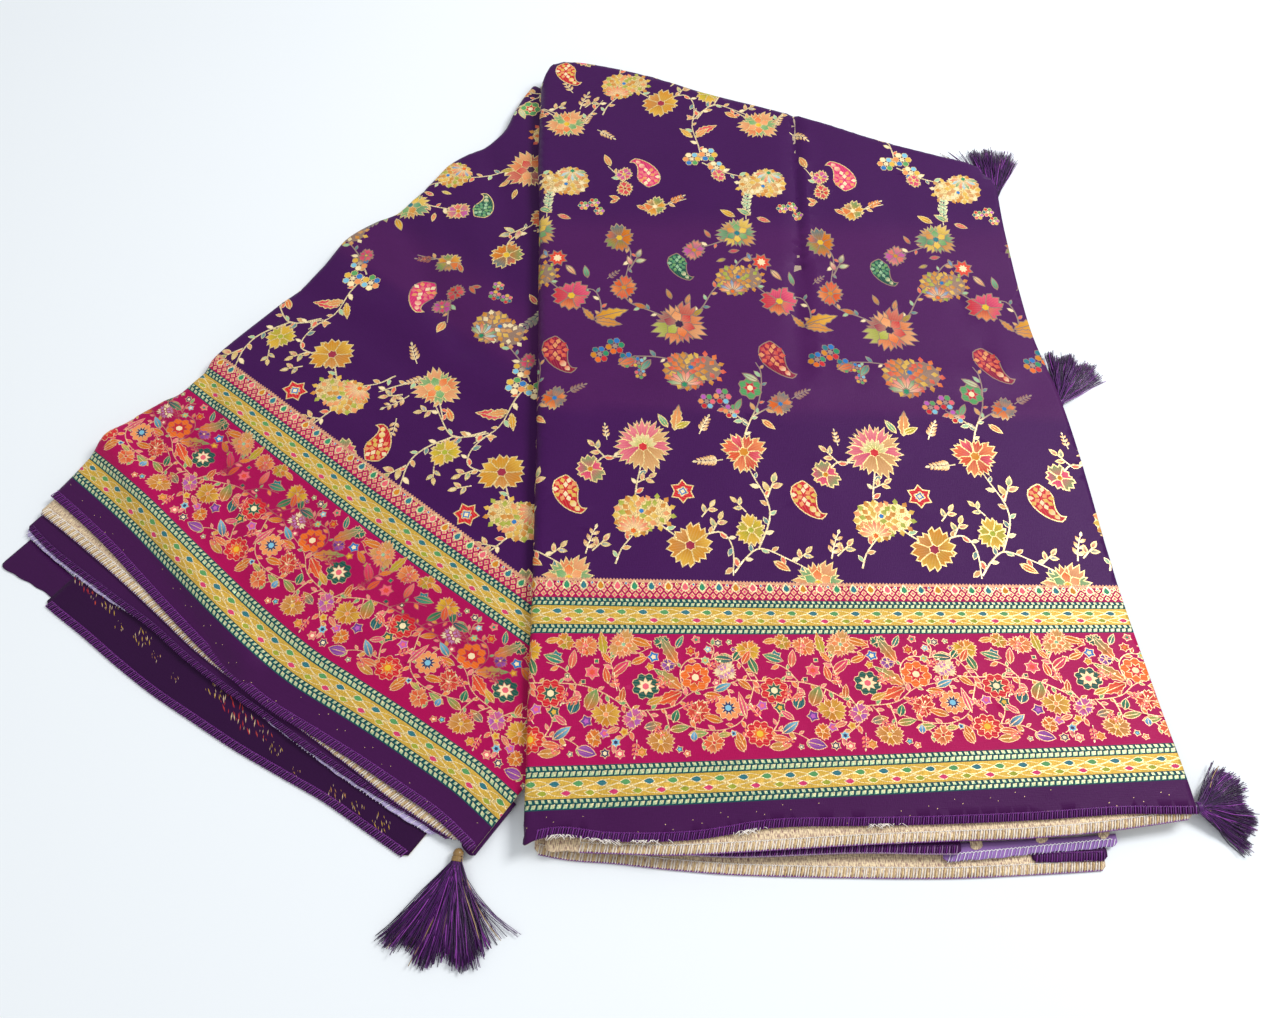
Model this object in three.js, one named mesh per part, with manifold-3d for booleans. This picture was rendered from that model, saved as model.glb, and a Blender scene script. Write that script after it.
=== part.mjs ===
// A silk brocade sari, folded to a long stack and laid on a flat surface, with its upper half turned out of
// its lower half like a fan about the far left corner.
//
// Millimetres, +Z up, +X to the right along the near edge, +Y away from the near edge. The underside rests on
// Z = 0, and the origin is the middle of that footprint.
//
// Two surfaces give every piece its place: the panel (the upper stack) and the fan (the lower stack, turned out
// by FAN_TURN). Each piece of cloth is a wall made from points of those surfaces.

import * as THREE from 'three';
import { mergeVertices } from 'three/addons/utils/BufferGeometryUtils.js';
import Module from 'manifold-3d';

// ---- driving dimensions ----
const WALL = 1.1;            // one ply of brocade with its floats
const GAP = 0.3;             // between solids that touch on the real sari
const CORE_CLEAR = 0.6;      // from the hidden layers to the ply that covers them

const PANEL_LOW = 11.5;      // top of the panel where it lies on the surface
const PANEL_HIGH = 21;       // top of the panel where it lies on the fan
const RISE_START = 105;      // the panel starts to climb this far before the fan's hidden edge
const RISE_LENGTH = 300;
const FAR_ROLL = 6;          // radius of the roll at the panel's far fold
const FOLD_LOW = 5.9;        // underside of the panel's left fold at the near edge
const FOLD_RISE_LENGTH = 30; // it climbs onto the fan over this length

const FAN_TURN = THREE.MathUtils.degToRad(-37.4);
const FAN_CORNER = { x: -337.5, y: -55 };   // near left corner of the fan's chord
const FAN_LENGTH = 463;      // from the near edge to the apex
const FAN_WIDTH = 353;       // from the outer fold to the pallu end
const FAN_NEAR_TOP = 6.4;    // top of the fan at its near edge
const FAN_MID_TOP = 9;       // top of the fan further in
const FAN_RISE_LENGTH = 85;
const FAN_ROLL = 5;          // radius of the roll at the outer fold
const FAN_UNDER_PANEL = 27;  // how far the fan's top ply runs on under the panel

const FRONT_INSET = 18;      // hidden layers stop this far behind the near edges
const FRONT_GAP = 0.9;       // from the strips of the lower plies to the hidden layers
const FOLD_LAYERS = { near: -237, far: 288 };   // the layers inside the left fold, along Y
const SIDE_INSET = 3;
const LAYER_DEPTH = 2.2;     // how far each rounded layer bulges from the side of the stack
const CORNER_MARGIN = 14;    // and this much inside the panel's rounded far right corner
const TROUGH_MARGIN = 14;    // the hidden layers keep this much clear beside each trough

// the panel's left and right edges, for each place along Y
const PANEL_SIDES = [
  { y: -270, left: -32.5, right: 322.5 },
  { y: -237, left: -32.5, right: 320.5 },
  { y: -194, left: -33.5, right: 315.5 },
  { y: -121, left: -34.5, right: 308.5 },
  { y: -35, left: -36.5, right: 304.5 },
  { y: 12, left: -38, right: 300.5 },
  { y: 58, left: -39.5, right: 292.5 },
  { y: 92, left: -41, right: 290.5 },
  { y: 156, left: -43.5, right: 288.5 },
  { y: 225, left: -47.5, right: 290.5 },
  { y: 325, left: -48.5, right: 291 },
];

// the panel's near and far edges, for each share of the way across from left to right
const PANEL_ENDS = [
  { across: 0, near: -270, far: 304 },
  { across: 0.024, near: -266, far: 322 },
  { across: 0.06, near: -264.5, far: 325 },
  { across: 0.133, near: -267, far: 321 },
  { across: 0.25, near: -266, far: 308 },
  { across: 0.37, near: -260, far: 290 },
  { across: 0.5, near: -259, far: 274 },
  { across: 0.63, near: -258, far: 258 },
  { across: 0.76, near: -256, far: 240 },
  { across: 0.89, near: -253, far: 226 },
  { across: 0.95, near: -253, far: 220 },
  { across: 0.982, near: -253, far: 212 },
  { across: 1, near: -253, far: 198 },
];

// soft pressed creases of the panel: a trough or ridge along a line, height over half its width
const PANEL_CREASES = [
  { fromX: 142, fromY: 250, toX: 137, toY: 110, rise: -0.9, halfWidth: 10 },
  { fromX: 137, fromY: 115, toX: 133, toY: 26, rise: -2.2, halfWidth: 9 },
  { fromX: 40, fromY: 18, toX: 262, toY: 26, rise: 1.4, halfWidth: 16 },
  { fromX: 40, fromY: 92, toX: 280, toY: 98, rise: -1.2, halfWidth: 44 },
  { fromX: 246, fromY: 92, toX: 262, toY: 30, rise: -1.4, halfWidth: 10 },
];

// the outer fold of the fan, inward (+) or outward (-) of a straight line, along the fan
const FAN_OUTER = [
  { along: 0, inward: 1.5 },
  { along: 20, inward: 0 },
  { along: 43, inward: -2.8 },
  { along: 62, inward: -2.4 },
  { along: 105, inward: 6.8 },
  { along: 135, inward: 2.3 },
  { along: 192, inward: 4.1 },
  { along: 226, inward: 3.6 },
  { along: 261, inward: -1.8 },
  { along: 301, inward: 8.6 },
  { along: 333, inward: 9.2 },
  { along: 358, inward: 6.8 },
  { along: 403, inward: 16.4 },
  { along: 442, inward: 4.4 },
  { along: 463, inward: 0 },
];

// the near edge of each ply of the fan, for each place across it, from the fan's chord
const FAN_NEAR = [
  { across: 0, top: -3, gold: -14.8, purple: -25, lavender: -29, lowest: -48 },
  { across: 30, top: -3.5, gold: -13.8, purple: -27.7, lavender: -29.5, lowest: -50 },
  { across: 60, top: -5, gold: -13.6, purple: -26.6, lavender: -28.5, lowest: -51.5 },
  { across: 90, top: -8, gold: -14, purple: -25, lavender: -26, lowest: -50.5 },
  { across: 120, top: -11, gold: -15, purple: -23.2, lavender: -22, lowest: -50.2 },
  { across: 150, top: -13.5, gold: -16.2, purple: -23.6, lavender: -20.5, lowest: -48.8 },
  { across: 180, top: -15, gold: -15, purple: -22.4, lavender: -20, lowest: -45.5 },
  { across: 210, top: -14.5, gold: -12.5, purple: -19.8, lavender: -19.6, lowest: -42 },
  { across: 240, top: -10.5, gold: -11, purple: -17.8, lavender: -18.4, lowest: -37 },
  { across: 270, top: -6.5, gold: -9.4, purple: -15, lavender: -16.4, lowest: -31.8 },
  { across: 300, top: -3.5, gold: -8.4, purple: -11, lavender: -13.4, lowest: -29 },
  { across: 326, top: -1.5, gold: -5.6, purple: -7, lavender: -9.8, lowest: -26.6 },
  { across: 353, top: -3, gold: -2, purple: -5, lavender: -6, lowest: -24 },
];

// soft troughs that run in from the fan's outer fold
const FAN_CREASES = [
  { fromX: 8, fromY: 395, toX: 95, toY: 330, rise: -1.2, halfWidth: 13 },
  { fromX: 8, fromY: 300, toX: 130, toY: 235, rise: -1.5, halfWidth: 16 },
  { fromX: 6, fromY: 205, toX: 190, toY: 200, rise: -1.3, halfWidth: 20 },
  { fromX: 4, fromY: 95, toX: 150, toY: 82, rise: -1.2, halfWidth: 18 },
];

// what shows below the fan's top ply: underside, thickness, first and last place across
const FAN_PLIES = [
  { name: 'fan_ply_2', edge: 'gold', underside: 3.95, from: 6, to: 342, colour: 0xb99a66 },
  { name: 'fan_ply_3', edge: 'purple', underside: 2.65, from: 8, to: 338, colour: 0x4a1a5c },
  { name: 'blouse_left', edge: 'lavender', underside: 1.35, from: 8.5, to: 330, colour: 0x9a80bf },
];
const FAN_PLY_WALL = 1.0;
const FAN_PLY_BACK = 14;     // the strips run in this far behind the fan's chord

// the near edge of each lower ply of the panel, along X, as its distance in front of Y = 0
const PANEL_NEAR = [
  { x: -32, second: -270.5, third: -268, fourth: -270 },
  { x: -10, second: -271, third: -270, fourth: -274 },
  { x: 16, second: -272, third: -271, fourth: -276 },
  { x: 45, second: -273, third: -272, fourth: -279 },
  { x: 80, second: -271.5, third: -273.5, fourth: -281.5 },
  { x: 142, second: -268, third: -271.5, fourth: -283 },
  { x: 190, second: -266, third: -272, fourth: -283.2 },
  { x: 232, second: -264.5, third: -270, fourth: -281.5 },
  { x: 273, second: -261, third: -268, fourth: -279 },
  { x: 321, second: -254.5, third: -262, fourth: -274 },
];
const PANEL_PLIES = [
  { name: 'panel_ply_2', edge: 'second', low: 6.1, high: 8.8, from: -5.2, to: 319, colour: 0xb99a66 },
  { name: 'panel_ply_3', edge: 'third', low: 4.4, high: 5.4, from: -14, to: 196, colour: 0x4a1a5c },
  { name: 'panel_ply_4', edge: 'fourth', low: 0, high: 0, from: -27, to: 272, colour: 0xb99a66 },
];
const BLOUSE_RIGHT = { from: 187, to: 279.5, nearLeft: -276, nearRight: -267, underside: 2.6 };
const PANEL_END = { from: 234, to: 273.5, nearLeft: -275.5, nearRight: -274.5, underside: 1.3 };
const SHORT_WALL = 1.0;

// tassels: root, the first and last direction of the threads in degrees from +X, reach, height of the root
const TASSELS = [
  { name: 'tassel_1', x: -66.5, y: -271.6, first: 227, last: 294, reach: 53.7, rootZ: 3.4, locks: 34 },
  { name: 'tassel_2', x: 322.3, y: -249, first: -46, last: 57, reach: 33.2, rootZ: 7.3, locks: 36 },
  { name: 'tassel_3', x: 301.2, y: 8, first: 33, last: 86, reach: 45, rootZ: 5.2, locks: 32 },
  { name: 'tassel_4', x: 289.4, y: 187, first: 62, last: 99, reach: 57, rootZ: 5.2, locks: 30 },
];
const HEAD_RADIUS = 2.9;
const LOCK_ROOT = 0.5;       // half width of a lock at the root and at the tip
const LOCK_TIP = 0.85;
const LOCK_LEVELS = 3;
const FLOOR_CLEAR = 0.35;

const SILK = { color: 0x4a2160, roughness: 0.55, metalness: 0.05 };
const THREAD = { color: 0x32123c, roughness: 0.5, metalness: 0 };

// ---- curves through tables ----

// a smooth curve through one column of a table, by cubic pieces with the mean slope at each row
function curve(table, key, column) {
  const xs = table.map((row) => row[key]);
  const ys = table.map((row) => row[column]);
  const last = xs.length - 1;
  const slopes = xs.map((_, i) => {
    const a = Math.max(i - 1, 0);
    const b = Math.min(i + 1, last);
    return (ys[b] - ys[a]) / (xs[b] - xs[a]);
  });
  return (x) => {
    if (x <= xs[0]) return ys[0];
    if (x >= xs[last]) return ys[last];
    const i = xs.findIndex((value) => value > x) - 1;
    const h = xs[i + 1] - xs[i];
    const t = (x - xs[i]) / h;
    const t2 = t * t;
    const t3 = t2 * t;
    return (2 * t3 - 3 * t2 + 1) * ys[i] + (t3 - 2 * t2 + t) * h * slopes[i]
      + (3 * t2 - 2 * t3) * ys[i + 1] + (t3 - t2) * h * slopes[i + 1];
  };
}

const clamp01 = (value) => Math.min(Math.max(value, 0), 1);
const smooth = (value) => clamp01(value) ** 2 * (3 - 2 * clamp01(value));
const lerp = THREE.MathUtils.lerp;

// height of the creases at a point: each fades out across its half width and at both ends
function creaseHeight(creases, x, y, widened = 0) {
  let height = 0;
  for (const { fromX, fromY, toX, toY, rise, halfWidth } of creases) {
    const length = Math.hypot(toX - fromX, toY - fromY);
    const alongX = (toX - fromX) / length;
    const alongY = (toY - fromY) / length;
    const along = (x - fromX) * alongX + (y - fromY) * alongY;
    const beside = Math.abs((x - fromX) * alongY - (y - fromY) * alongX);
    const past = Math.max(-along, along - length, 0);
    const reach = halfWidth + widened;
    const counted = widened > 0 ? Math.min(rise, 0) : rise;
    height += counted * smooth((1 - Math.hypot(beside, past) / reach) * (reach / halfWidth));
  }
  return height;
}

// ---- the two surfaces ----

const panelLeft = curve(PANEL_SIDES, 'y', 'left');
const panelRight = curve(PANEL_SIDES, 'y', 'right');
const panelNear = curve(PANEL_ENDS, 'across', 'near');
const panelFar = curve(PANEL_ENDS, 'across', 'far');
const fanInward = curve(FAN_OUTER, 'along', 'inward');
const fanTopEdge = curve(FAN_NEAR, 'across', 'top');

const fanCos = Math.cos(FAN_TURN);
const fanSin = Math.sin(FAN_TURN);

// from the fan's own directions, across and along it, to the sari's
function fanToSari(across, along) {
  return {
    x: FAN_CORNER.x + across * fanCos - along * fanSin,
    y: FAN_CORNER.y + across * fanSin + along * fanCos,
  };
}

// how far a point lies across the fan
const acrossFan = (x, y) => (x - FAN_CORNER.x) * fanCos + (y - FAN_CORNER.y) * fanSin;

// the tops of both stacks; widened troughs keep the hidden layers clear of the ply above them
function fanTopZ(across, along, widened = 0) {
  const rise = smooth((along + 15) / FAN_RISE_LENGTH);
  const creases = creaseHeight(FAN_CREASES, across, along, widened);
  return lerp(FAN_NEAR_TOP, FAN_MID_TOP, rise) + creases * rise;
}

function panelTopZ(x, y, widened = 0) {
  const ontoFan = FAN_WIDTH - acrossFan(x, y);
  const climb = smooth((ontoFan + RISE_START) / RISE_LENGTH);
  return lerp(PANEL_LOW, PANEL_HIGH, climb) + creaseHeight(PANEL_CREASES, x, y, widened);
}

// the underside of the panel's left fold, which rises onto the fan
const foldUnder = (y) => lerp(FOLD_LOW, FAN_MID_TOP + 0.5, smooth((y + 270) / FOLD_RISE_LENGTH));

function panelPoint(across, along) {
  const y = lerp(panelNear(across), panelFar(across), along);
  const x = lerp(panelLeft(y), panelRight(y), across);
  return { x, y };
}

// ---- solids from grids of points ----

function geometryFrom(positions, indices) {
  const geometry = new THREE.BufferGeometry();
  geometry.setAttribute('position', new THREE.Float32BufferAttribute(positions, 3));
  geometry.setIndex(indices);
  return geometry;
}

// a closed body between an upper and a lower grid of the same size, joined round their edge by rings
function bodyBetween(upper, lower, rings = () => []) {
  const rows = upper.length;
  const columns = upper[0].length;
  const positions = [];
  const indices = [];
  const add = (point) => positions.push(point.x, point.y, point.z) / 3 - 1;
  const upperIds = upper.map((row) => row.map(add));
  const lowerIds = lower.map((row) => row.map(add));
  for (let r = 0; r + 1 < rows; r += 1) {
    for (let c = 0; c + 1 < columns; c += 1) {
      const [a, b, d, e] = [upperIds[r][c], upperIds[r][c + 1], upperIds[r + 1][c + 1], upperIds[r + 1][c]];
      indices.push(a, b, d, a, d, e);
      const [f, g, h, k] = [lowerIds[r][c], lowerIds[r][c + 1], lowerIds[r + 1][c + 1], lowerIds[r + 1][c]];
      indices.push(f, h, g, f, k, h);
    }
  }
  const loop = edgeLoop(rows, columns);
  const columnsDown = loop.map(([r, c], i) => {
    const between = rings(upper[r][c], lower[r][c], i, loop).map(add);
    return [upperIds[r][c], ...between, lowerIds[r][c]];
  });
  columnsDown.forEach((column, i) => {
    const next = columnsDown[(i + 1) % columnsDown.length];
    for (let k = 0; k + 1 < column.length; k += 1) {
      indices.push(column[k], column[k + 1], next[k + 1], column[k], next[k + 1], next[k]);
    }
  });
  return geometryFrom(positions, indices);
}

// grid places round the edge, anticlockwise where rows run along +Y and columns along +X
function edgeLoop(rows, columns) {
  const loop = [];
  for (let c = 0; c < columns - 1; c += 1) loop.push([0, c]);
  for (let r = 0; r < rows - 1; r += 1) loop.push([r, columns - 1]);
  for (let c = columns - 1; c > 0; c -= 1) loop.push([rows - 1, c]);
  for (let r = rows - 1; r > 0; r -= 1) loop.push([r, 0]);
  return loop;
}

// a wall of cloth: the grid is its outer face, and its inner face lies one thickness behind
function clothWall(outer, thickness) {
  const rows = outer.length;
  const columns = outer[0].length;
  const along = new THREE.Vector3();
  const across = new THREE.Vector3();
  const at = (r, c) => {
    const point = outer[Math.min(Math.max(r, 0), rows - 1)][Math.min(Math.max(c, 0), columns - 1)];
    return new THREE.Vector3(point.x, point.y, point.z);
  };
  const inner = outer.map((row, r) => row.map((point, c) => {
    along.subVectors(at(r + 1, c), at(r - 1, c));
    across.subVectors(at(r, c + 1), at(r, c - 1));
    const normal = new THREE.Vector3().crossVectors(across, along).normalize();
    return new THREE.Vector3(point.x, point.y, point.z).addScaledVector(normal, -thickness);
  }));
  return bodyBetween(outer, inner);
}

// evenly spaced values with a few more of our own between them
function stations(from, to, count, extra = []) {
  const even = Array.from({ length: count }, (_, i) => lerp(from, to, i / (count - 1)));
  const spacing = Math.abs(to - from) / (count - 1);
  const kept = even.filter((value, i) => i === 0 || i === count - 1
    || extra.every((own) => Math.abs(own - value) > spacing * 0.4));
  return [...kept, ...extra].sort((a, b) => a - b);
}

// ---- the panel's top ply ----

// share of the far roll that a place along the panel has used up, and the height lost there
function farRoll(y, across) {
  const before = panelFar(across) - y;
  const into = clamp01(1 - before / FAR_ROLL);
  return FAR_ROLL * (1 - Math.sqrt(1 - into * into));
}

// one crosswise section of the top ply, from the end of its turn under the left fold to the right edge
function panelSection(along) {
  const edge = panelPoint(0, along);
  const top = panelTopZ(edge.x, edge.y) - farRoll(edge.y, 0);
  const under = Math.min(foldUnder(edge.y), top - 4.4);
  const radius = (top - under) / 2;
  const section = [];
  const turnUnder = FOLD_RETURN_X - (edge.x + radius);
  for (const share of [1, 0.5]) {
    section.push({ x: edge.x + radius + turnUnder * share, y: edge.y, z: under });
  }
  for (let step = 0; step <= FOLD_STEPS; step += 1) {
    const angle = -Math.PI / 2 - (Math.PI * step) / FOLD_STEPS;
    section.push({
      x: edge.x + radius * (1 + Math.cos(angle)),
      y: edge.y,
      z: under + radius * (1 + Math.sin(angle)),
    });
  }
  for (const across of PANEL_ACROSS) {
    const point = panelPoint(across, along);
    const z = panelTopZ(point.x, point.y) - farRoll(point.y, across);
    section.push({ ...point, z });
  }
  return section;
}

const FOLD_RETURN_X = -6;
const FOLD_STEPS = 6;
const PANEL_ACROSS = stations(0.05, 1, 14, [0.495, 0.522, 0.55]);
const PANEL_ALONG = [...stations(0, 0.96, 15, [0.03, 0.055, 0.5, 0.53, 0.56]), 0.98, 0.99, 0.997, 1];

function makePanelTop() {
  return clothWall(PANEL_ALONG.map(panelSection), WALL);
}

// ---- the fan's top ply ----

const UNDER_PANEL_X = -33 + FAN_UNDER_PANEL;   // the fan's hidden end, along X

// the last place across the fan that its top ply reaches
function fanInnerEnd(along) {
  const limit = (UNDER_PANEL_X - FAN_CORNER.x + along * fanSin) / fanCos;
  return Math.min(FAN_WIDTH, limit);
}

const FAN_ACROSS = stations(0, 1, 14);
const FAN_ALONG = stations(0, 1, 22);

function fanSection(share) {
  const section = [];
  const start = fanInward(share * FAN_LENGTH);
  const end = fanInnerEnd(share * FAN_LENGTH);
  const place = (across, drop) => {
    const along = lerp(fanTopEdge(across), FAN_LENGTH, share);
    const point = fanToSari(across, along);
    return { ...point, z: fanTopZ(across, along) - drop };
  };
  const floor = FLOOR_CLEAR;
  const foot = place(start, 0);
  section.push({ ...foot, z: floor });
  for (const turn of [0, 0.25, 0.5, 0.75]) {
    const angle = (turn * Math.PI) / 2;
    section.push(place(start + FAN_ROLL * (1 - Math.cos(angle)), FAN_ROLL * (1 - Math.sin(angle))));
  }
  for (const across of FAN_ACROSS) {
    section.push(place(lerp(start + FAN_ROLL, end, across), 0));
  }
  return section;
}

function makeFanTop() {
  return clothWall(FAN_ALONG.map(fanSection), WALL);
}

// ---- strips of the lower plies ----

// a flat strip between a near edge and a back edge, one thickness high
function strip(nearPoint, backPoint, from, to, count, underside, thickness) {
  const places = stations(from, to, count);
  const level = (lift) => [nearPoint, backPoint].map((edge) => places.map((place) => {
    const point = edge(place);
    return { x: point.x, y: point.y, z: underside(place) + lift };
  }));
  return bodyBetween(level(thickness), level(0));
}

function makeFanPly({ edge, underside, from, to }) {
  const near = curve(FAN_NEAR, 'across', edge);
  return strip(
    (across) => fanToSari(across, near(across)),
    (across) => fanToSari(across, FAN_PLY_BACK),
    from, to, 22, () => underside, FAN_PLY_WALL,
  );
}

// the lowest ply: its outer side runs back to the corner of the ply above it
function makeFanLowest() {
  const near = curve(FAN_NEAR, 'across', 'lowest');
  return strip(
    (across) => fanToSari(lerp(56, 326, across), near(lerp(56, 326, across))),
    (across) => fanToSari(lerp(31, 326, across), FAN_PLY_BACK),
    0, 1, 22, () => 0, FAN_PLY_WALL,
  );
}

function makeFanCorner() {
  return strip(
    (across) => fanToSari(lerp(16.6, 48.5, across), lerp(-51.2, -46.8, across)),
    (across) => fanToSari(lerp(11.5, 32.2, across), -29.7),
    0, 1, 4, () => 0, FAN_PLY_WALL,
  );
}

// the pallu end turned under at the fan's inner corner
function makeFanEnd() {
  return strip(
    (across) => fanToSari(lerp(344.5, FAN_WIDTH + 1.5, across), -4.5),
    (across) => fanToSari(lerp(344.5, FAN_WIDTH + 1, across), 30),
    0, 1, 4, () => 2.6, 2.4,
  );
}

function makePanelPly({ edge, low, high, from, to }) {
  const near = curve(PANEL_NEAR, 'x', edge);
  const rise = (x) => lerp(low, high, smooth((x - from) / (to - from)));
  return strip(
    (x) => ({ x, y: near(x) }),
    (x) => ({ x, y: panelFrontY(x) - FRONT_GAP }),
    from, to, 20, rise, WALL,
  );
}

// the near or far edge of the panel at a place along X, found in a few steps from a first guess
function panelEdgeY(x, edge, guess) {
  let y = guess;
  for (let step = 0; step < 4; step += 1) {
    y = edge(clamp01((x - panelLeft(y)) / (panelRight(y) - panelLeft(y))));
  }
  return y;
}

// where the hidden layers of the panel start, behind its near edge
const panelFrontY = (x) => panelEdgeY(x, panelNear, -260) + FRONT_INSET;

function makeShortStrip({ from, to, nearLeft, nearRight, underside }) {
  return strip(
    (x) => ({ x, y: lerp(nearLeft, nearRight, (x - from) / (to - from)) }),
    (x) => ({ x, y: panelFrontY(x) - FRONT_GAP }),
    from, to, 6, () => underside, SHORT_WALL,
  );
}

// ---- the hidden layers ----

let wasm;

function toManifold(geometry) {
  const bare = geometry.clone();
  bare.deleteAttribute('normal');
  bare.deleteAttribute('uv');
  const merged = mergeVertices(bare, 1e-4);
  return new wasm.Manifold(new wasm.Mesh({
    numProp: 3,
    vertProperties: new Float32Array(merged.attributes.position.array),
    triVerts: new Uint32Array(merged.index.array),
  }));
}

function fromManifold(solid) {
  const mesh = solid.getMesh();
  return geometryFrom(Array.from(mesh.vertProperties), Array.from(mesh.triVerts));
}

// rounded layers down the side of a stack, below a plain stretch that the top ply covers
function layeredSide(plain, layers, depth) {
  return (top, bottom) => {
    const { outward } = top;
    const first = top.z - plain;
    const points = [{ x: top.x, y: top.y, z: first }];
    for (let k = 1; k < layers * 2; k += 1) {
      const bulge = k % 2 === 0 ? 0.2 * depth : depth;
      points.push({
        x: top.x + outward.x * bulge,
        y: top.y + outward.y * bulge,
        z: lerp(first, bottom.z, k / (layers * 2)),
      });
    }
    return points;
  };
}

// the panel's hidden layers, from the surface up to its top ply
function panelLayers() {
  const left = UNDER_PANEL_X + GAP;
  const rightmost = panelRight(-200) - SIDE_INSET - LAYER_DEPTH;
  const grid = stations(0, 1, 15, [0.97]).map((v) => stations(0, 1, 15, [0.96]).map((u) => {
    const guess = lerp(left, rightmost, u);
    const farHere = panelEdgeY(guess, panelFar, 260);
    const farBeside = panelEdgeY(guess + CORNER_MARGIN, panelFar, 260);
    const far = Math.min(farHere, farBeside) - WALL - CORE_CLEAR - 1.6;
    const y = lerp(panelFrontY(guess), far, v);
    const x = lerp(left, panelRight(y) - SIDE_INSET - LAYER_DEPTH, u);
    const rolled = farRoll(y + WALL + CORE_CLEAR + 1, (x - panelLeft(y)) / (panelRight(y) - panelLeft(y)));
    const z = panelTopZ(x, y, TROUGH_MARGIN) - rolled - WALL - CORE_CLEAR;
    return { x, y, z, outward: { x: u === 1 ? 1 : 0, y: v === 1 ? 1 : 0 } };
  }));
  const base = grid.map((row) => row.map((point) => ({ ...point, z: 0 })));
  return bodyBetween(grid, base, layeredSide(3.5, 3, LAYER_DEPTH));
}

// the layers inside the panel's left fold, above the turned-under end of the top ply
function foldLayers() {
  const profile = [1, 0.55, 0.2, 0];
  const level = (side) => stations(0, 1, 15).map((v) => profile.map((share) => {
    const y = lerp(FOLD_LAYERS.near, FOLD_LAYERS.far, v);
    const nose = panelLeft(y) + WALL + CORE_CLEAR + 0.6;
    const x = lerp(nose, UNDER_PANEL_X + 6, 1 - share);
    const top = panelTopZ(x, y, TROUGH_MARGIN) - WALL - CORE_CLEAR - 0.3;
    const under = foldUnder(y) + WALL + CORE_CLEAR;
    const half = ((top - under) / 2) * Math.sqrt(1 - 0.8 * share * share);
    return { x, y, z: (top + under) / 2 + side * half };
  }));
  return bodyBetween(level(1), level(-1));
}

// the fan's hidden layers, below its top ply
function fanLayers() {
  const grid = stations(0, 1, 15).map((v) => stations(0, 1, 12).map((u) => {
    const along = lerp(FAN_PLY_BACK + GAP, FAN_LENGTH - 14, v);
    const start = fanInward(along) + WALL + CORE_CLEAR + 2.4;
    const end = Math.min(FAN_WIDTH - 12, fanInnerEnd(along) + 12);
    const across = lerp(start, end, u);
    const shoulder = FAN_ROLL * 0.6 * smooth(1 - (across - start) / FAN_ROLL);
    const z = fanTopZ(across, along, TROUGH_MARGIN) - shoulder - WALL - CORE_CLEAR;
    return { ...fanToSari(across, along), z };
  }));
  const base = grid.map((row) => row.map((point) => ({ ...point, z: 0 })));
  return bodyBetween(grid, base);
}

function makeInnerLayers() {
  const panel = toManifold(panelLayers());
  return fromManifold(panel.add(toManifold(foldLayers())).add(toManifold(fanLayers())));
}

// ---- tassels ----

// one lock of thread: three sides, from the head out and down to just above the surface
function tasselLock(tassel, index) {
  const perLevel = Math.ceil(tassel.locks / LOCK_LEVELS);
  const level = index % LOCK_LEVELS;
  const place = (Math.floor(index / LOCK_LEVELS) + 0.33 * level) / (perLevel - 0.34);
  const heading = THREE.MathUtils.degToRad(lerp(tassel.first, tassel.last, clamp01(place)));
  const uneven = Math.sin(index * 2.4) * 0.06 + Math.sin(index * 5.1) * 0.04;
  const reach = tassel.reach * (0.92 + uneven);
  const tipZ = FLOOR_CLEAR + LOCK_TIP + level * 1.7;
  const rootZ = tassel.rootZ + (level - 1) * 0.9;
  const rings = [0, 0.5, 1].map((share) => {
    const fall = smooth(share * 1.25);
    return {
      x: tassel.x + Math.cos(heading) * reach * share,
      y: tassel.y + Math.sin(heading) * reach * share,
      z: lerp(rootZ, tipZ, fall),
      half: lerp(LOCK_ROOT, LOCK_TIP, share),
    };
  });
  const side = { x: -Math.sin(heading), y: Math.cos(heading) };
  const positions = [];
  rings.forEach(({ x, y, z, half }) => {
    positions.push(x - side.x * half, y - side.y * half, z - half * 0.7);
    positions.push(x + side.x * half, y + side.y * half, z - half * 0.7);
    positions.push(x, y, z + half * 0.9);
  });
  const indices = [];
  for (let ring = 0; ring + 1 < rings.length; ring += 1) {
    for (let corner = 0; corner < 3; corner += 1) {
      const a = ring * 3 + corner;
      const b = ring * 3 + ((corner + 1) % 3);
      indices.push(a, b + 3, a + 3, a, b, b + 3);
    }
  }
  const tip = (rings.length - 1) * 3;
  indices.push(0, 2, 1, tip, tip + 1, tip + 2);
  return geometryFrom(positions, indices);
}

function makeTassel(tassel) {
  const head = new THREE.SphereGeometry(HEAD_RADIUS, 10, 7);
  head.scale(1, 1, 0.95);
  head.translate(tassel.x, tassel.y, tassel.rootZ);
  let solid = toManifold(head);
  for (let index = 0; index < tassel.locks; index += 1) {
    solid = solid.add(toManifold(tasselLock(tassel, index)));
  }
  return fromManifold(solid);
}

// ---- the sari ----

wasm = await Module();
wasm.setup();

const sari = new THREE.Group();

function addPiece(name, geometry, finish) {
  const mesh = new THREE.Mesh(geometry, new THREE.MeshStandardMaterial(finish));
  mesh.name = name;
  sari.add(mesh);
}

const cloth = (colour) => ({ ...SILK, color: colour });

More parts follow.
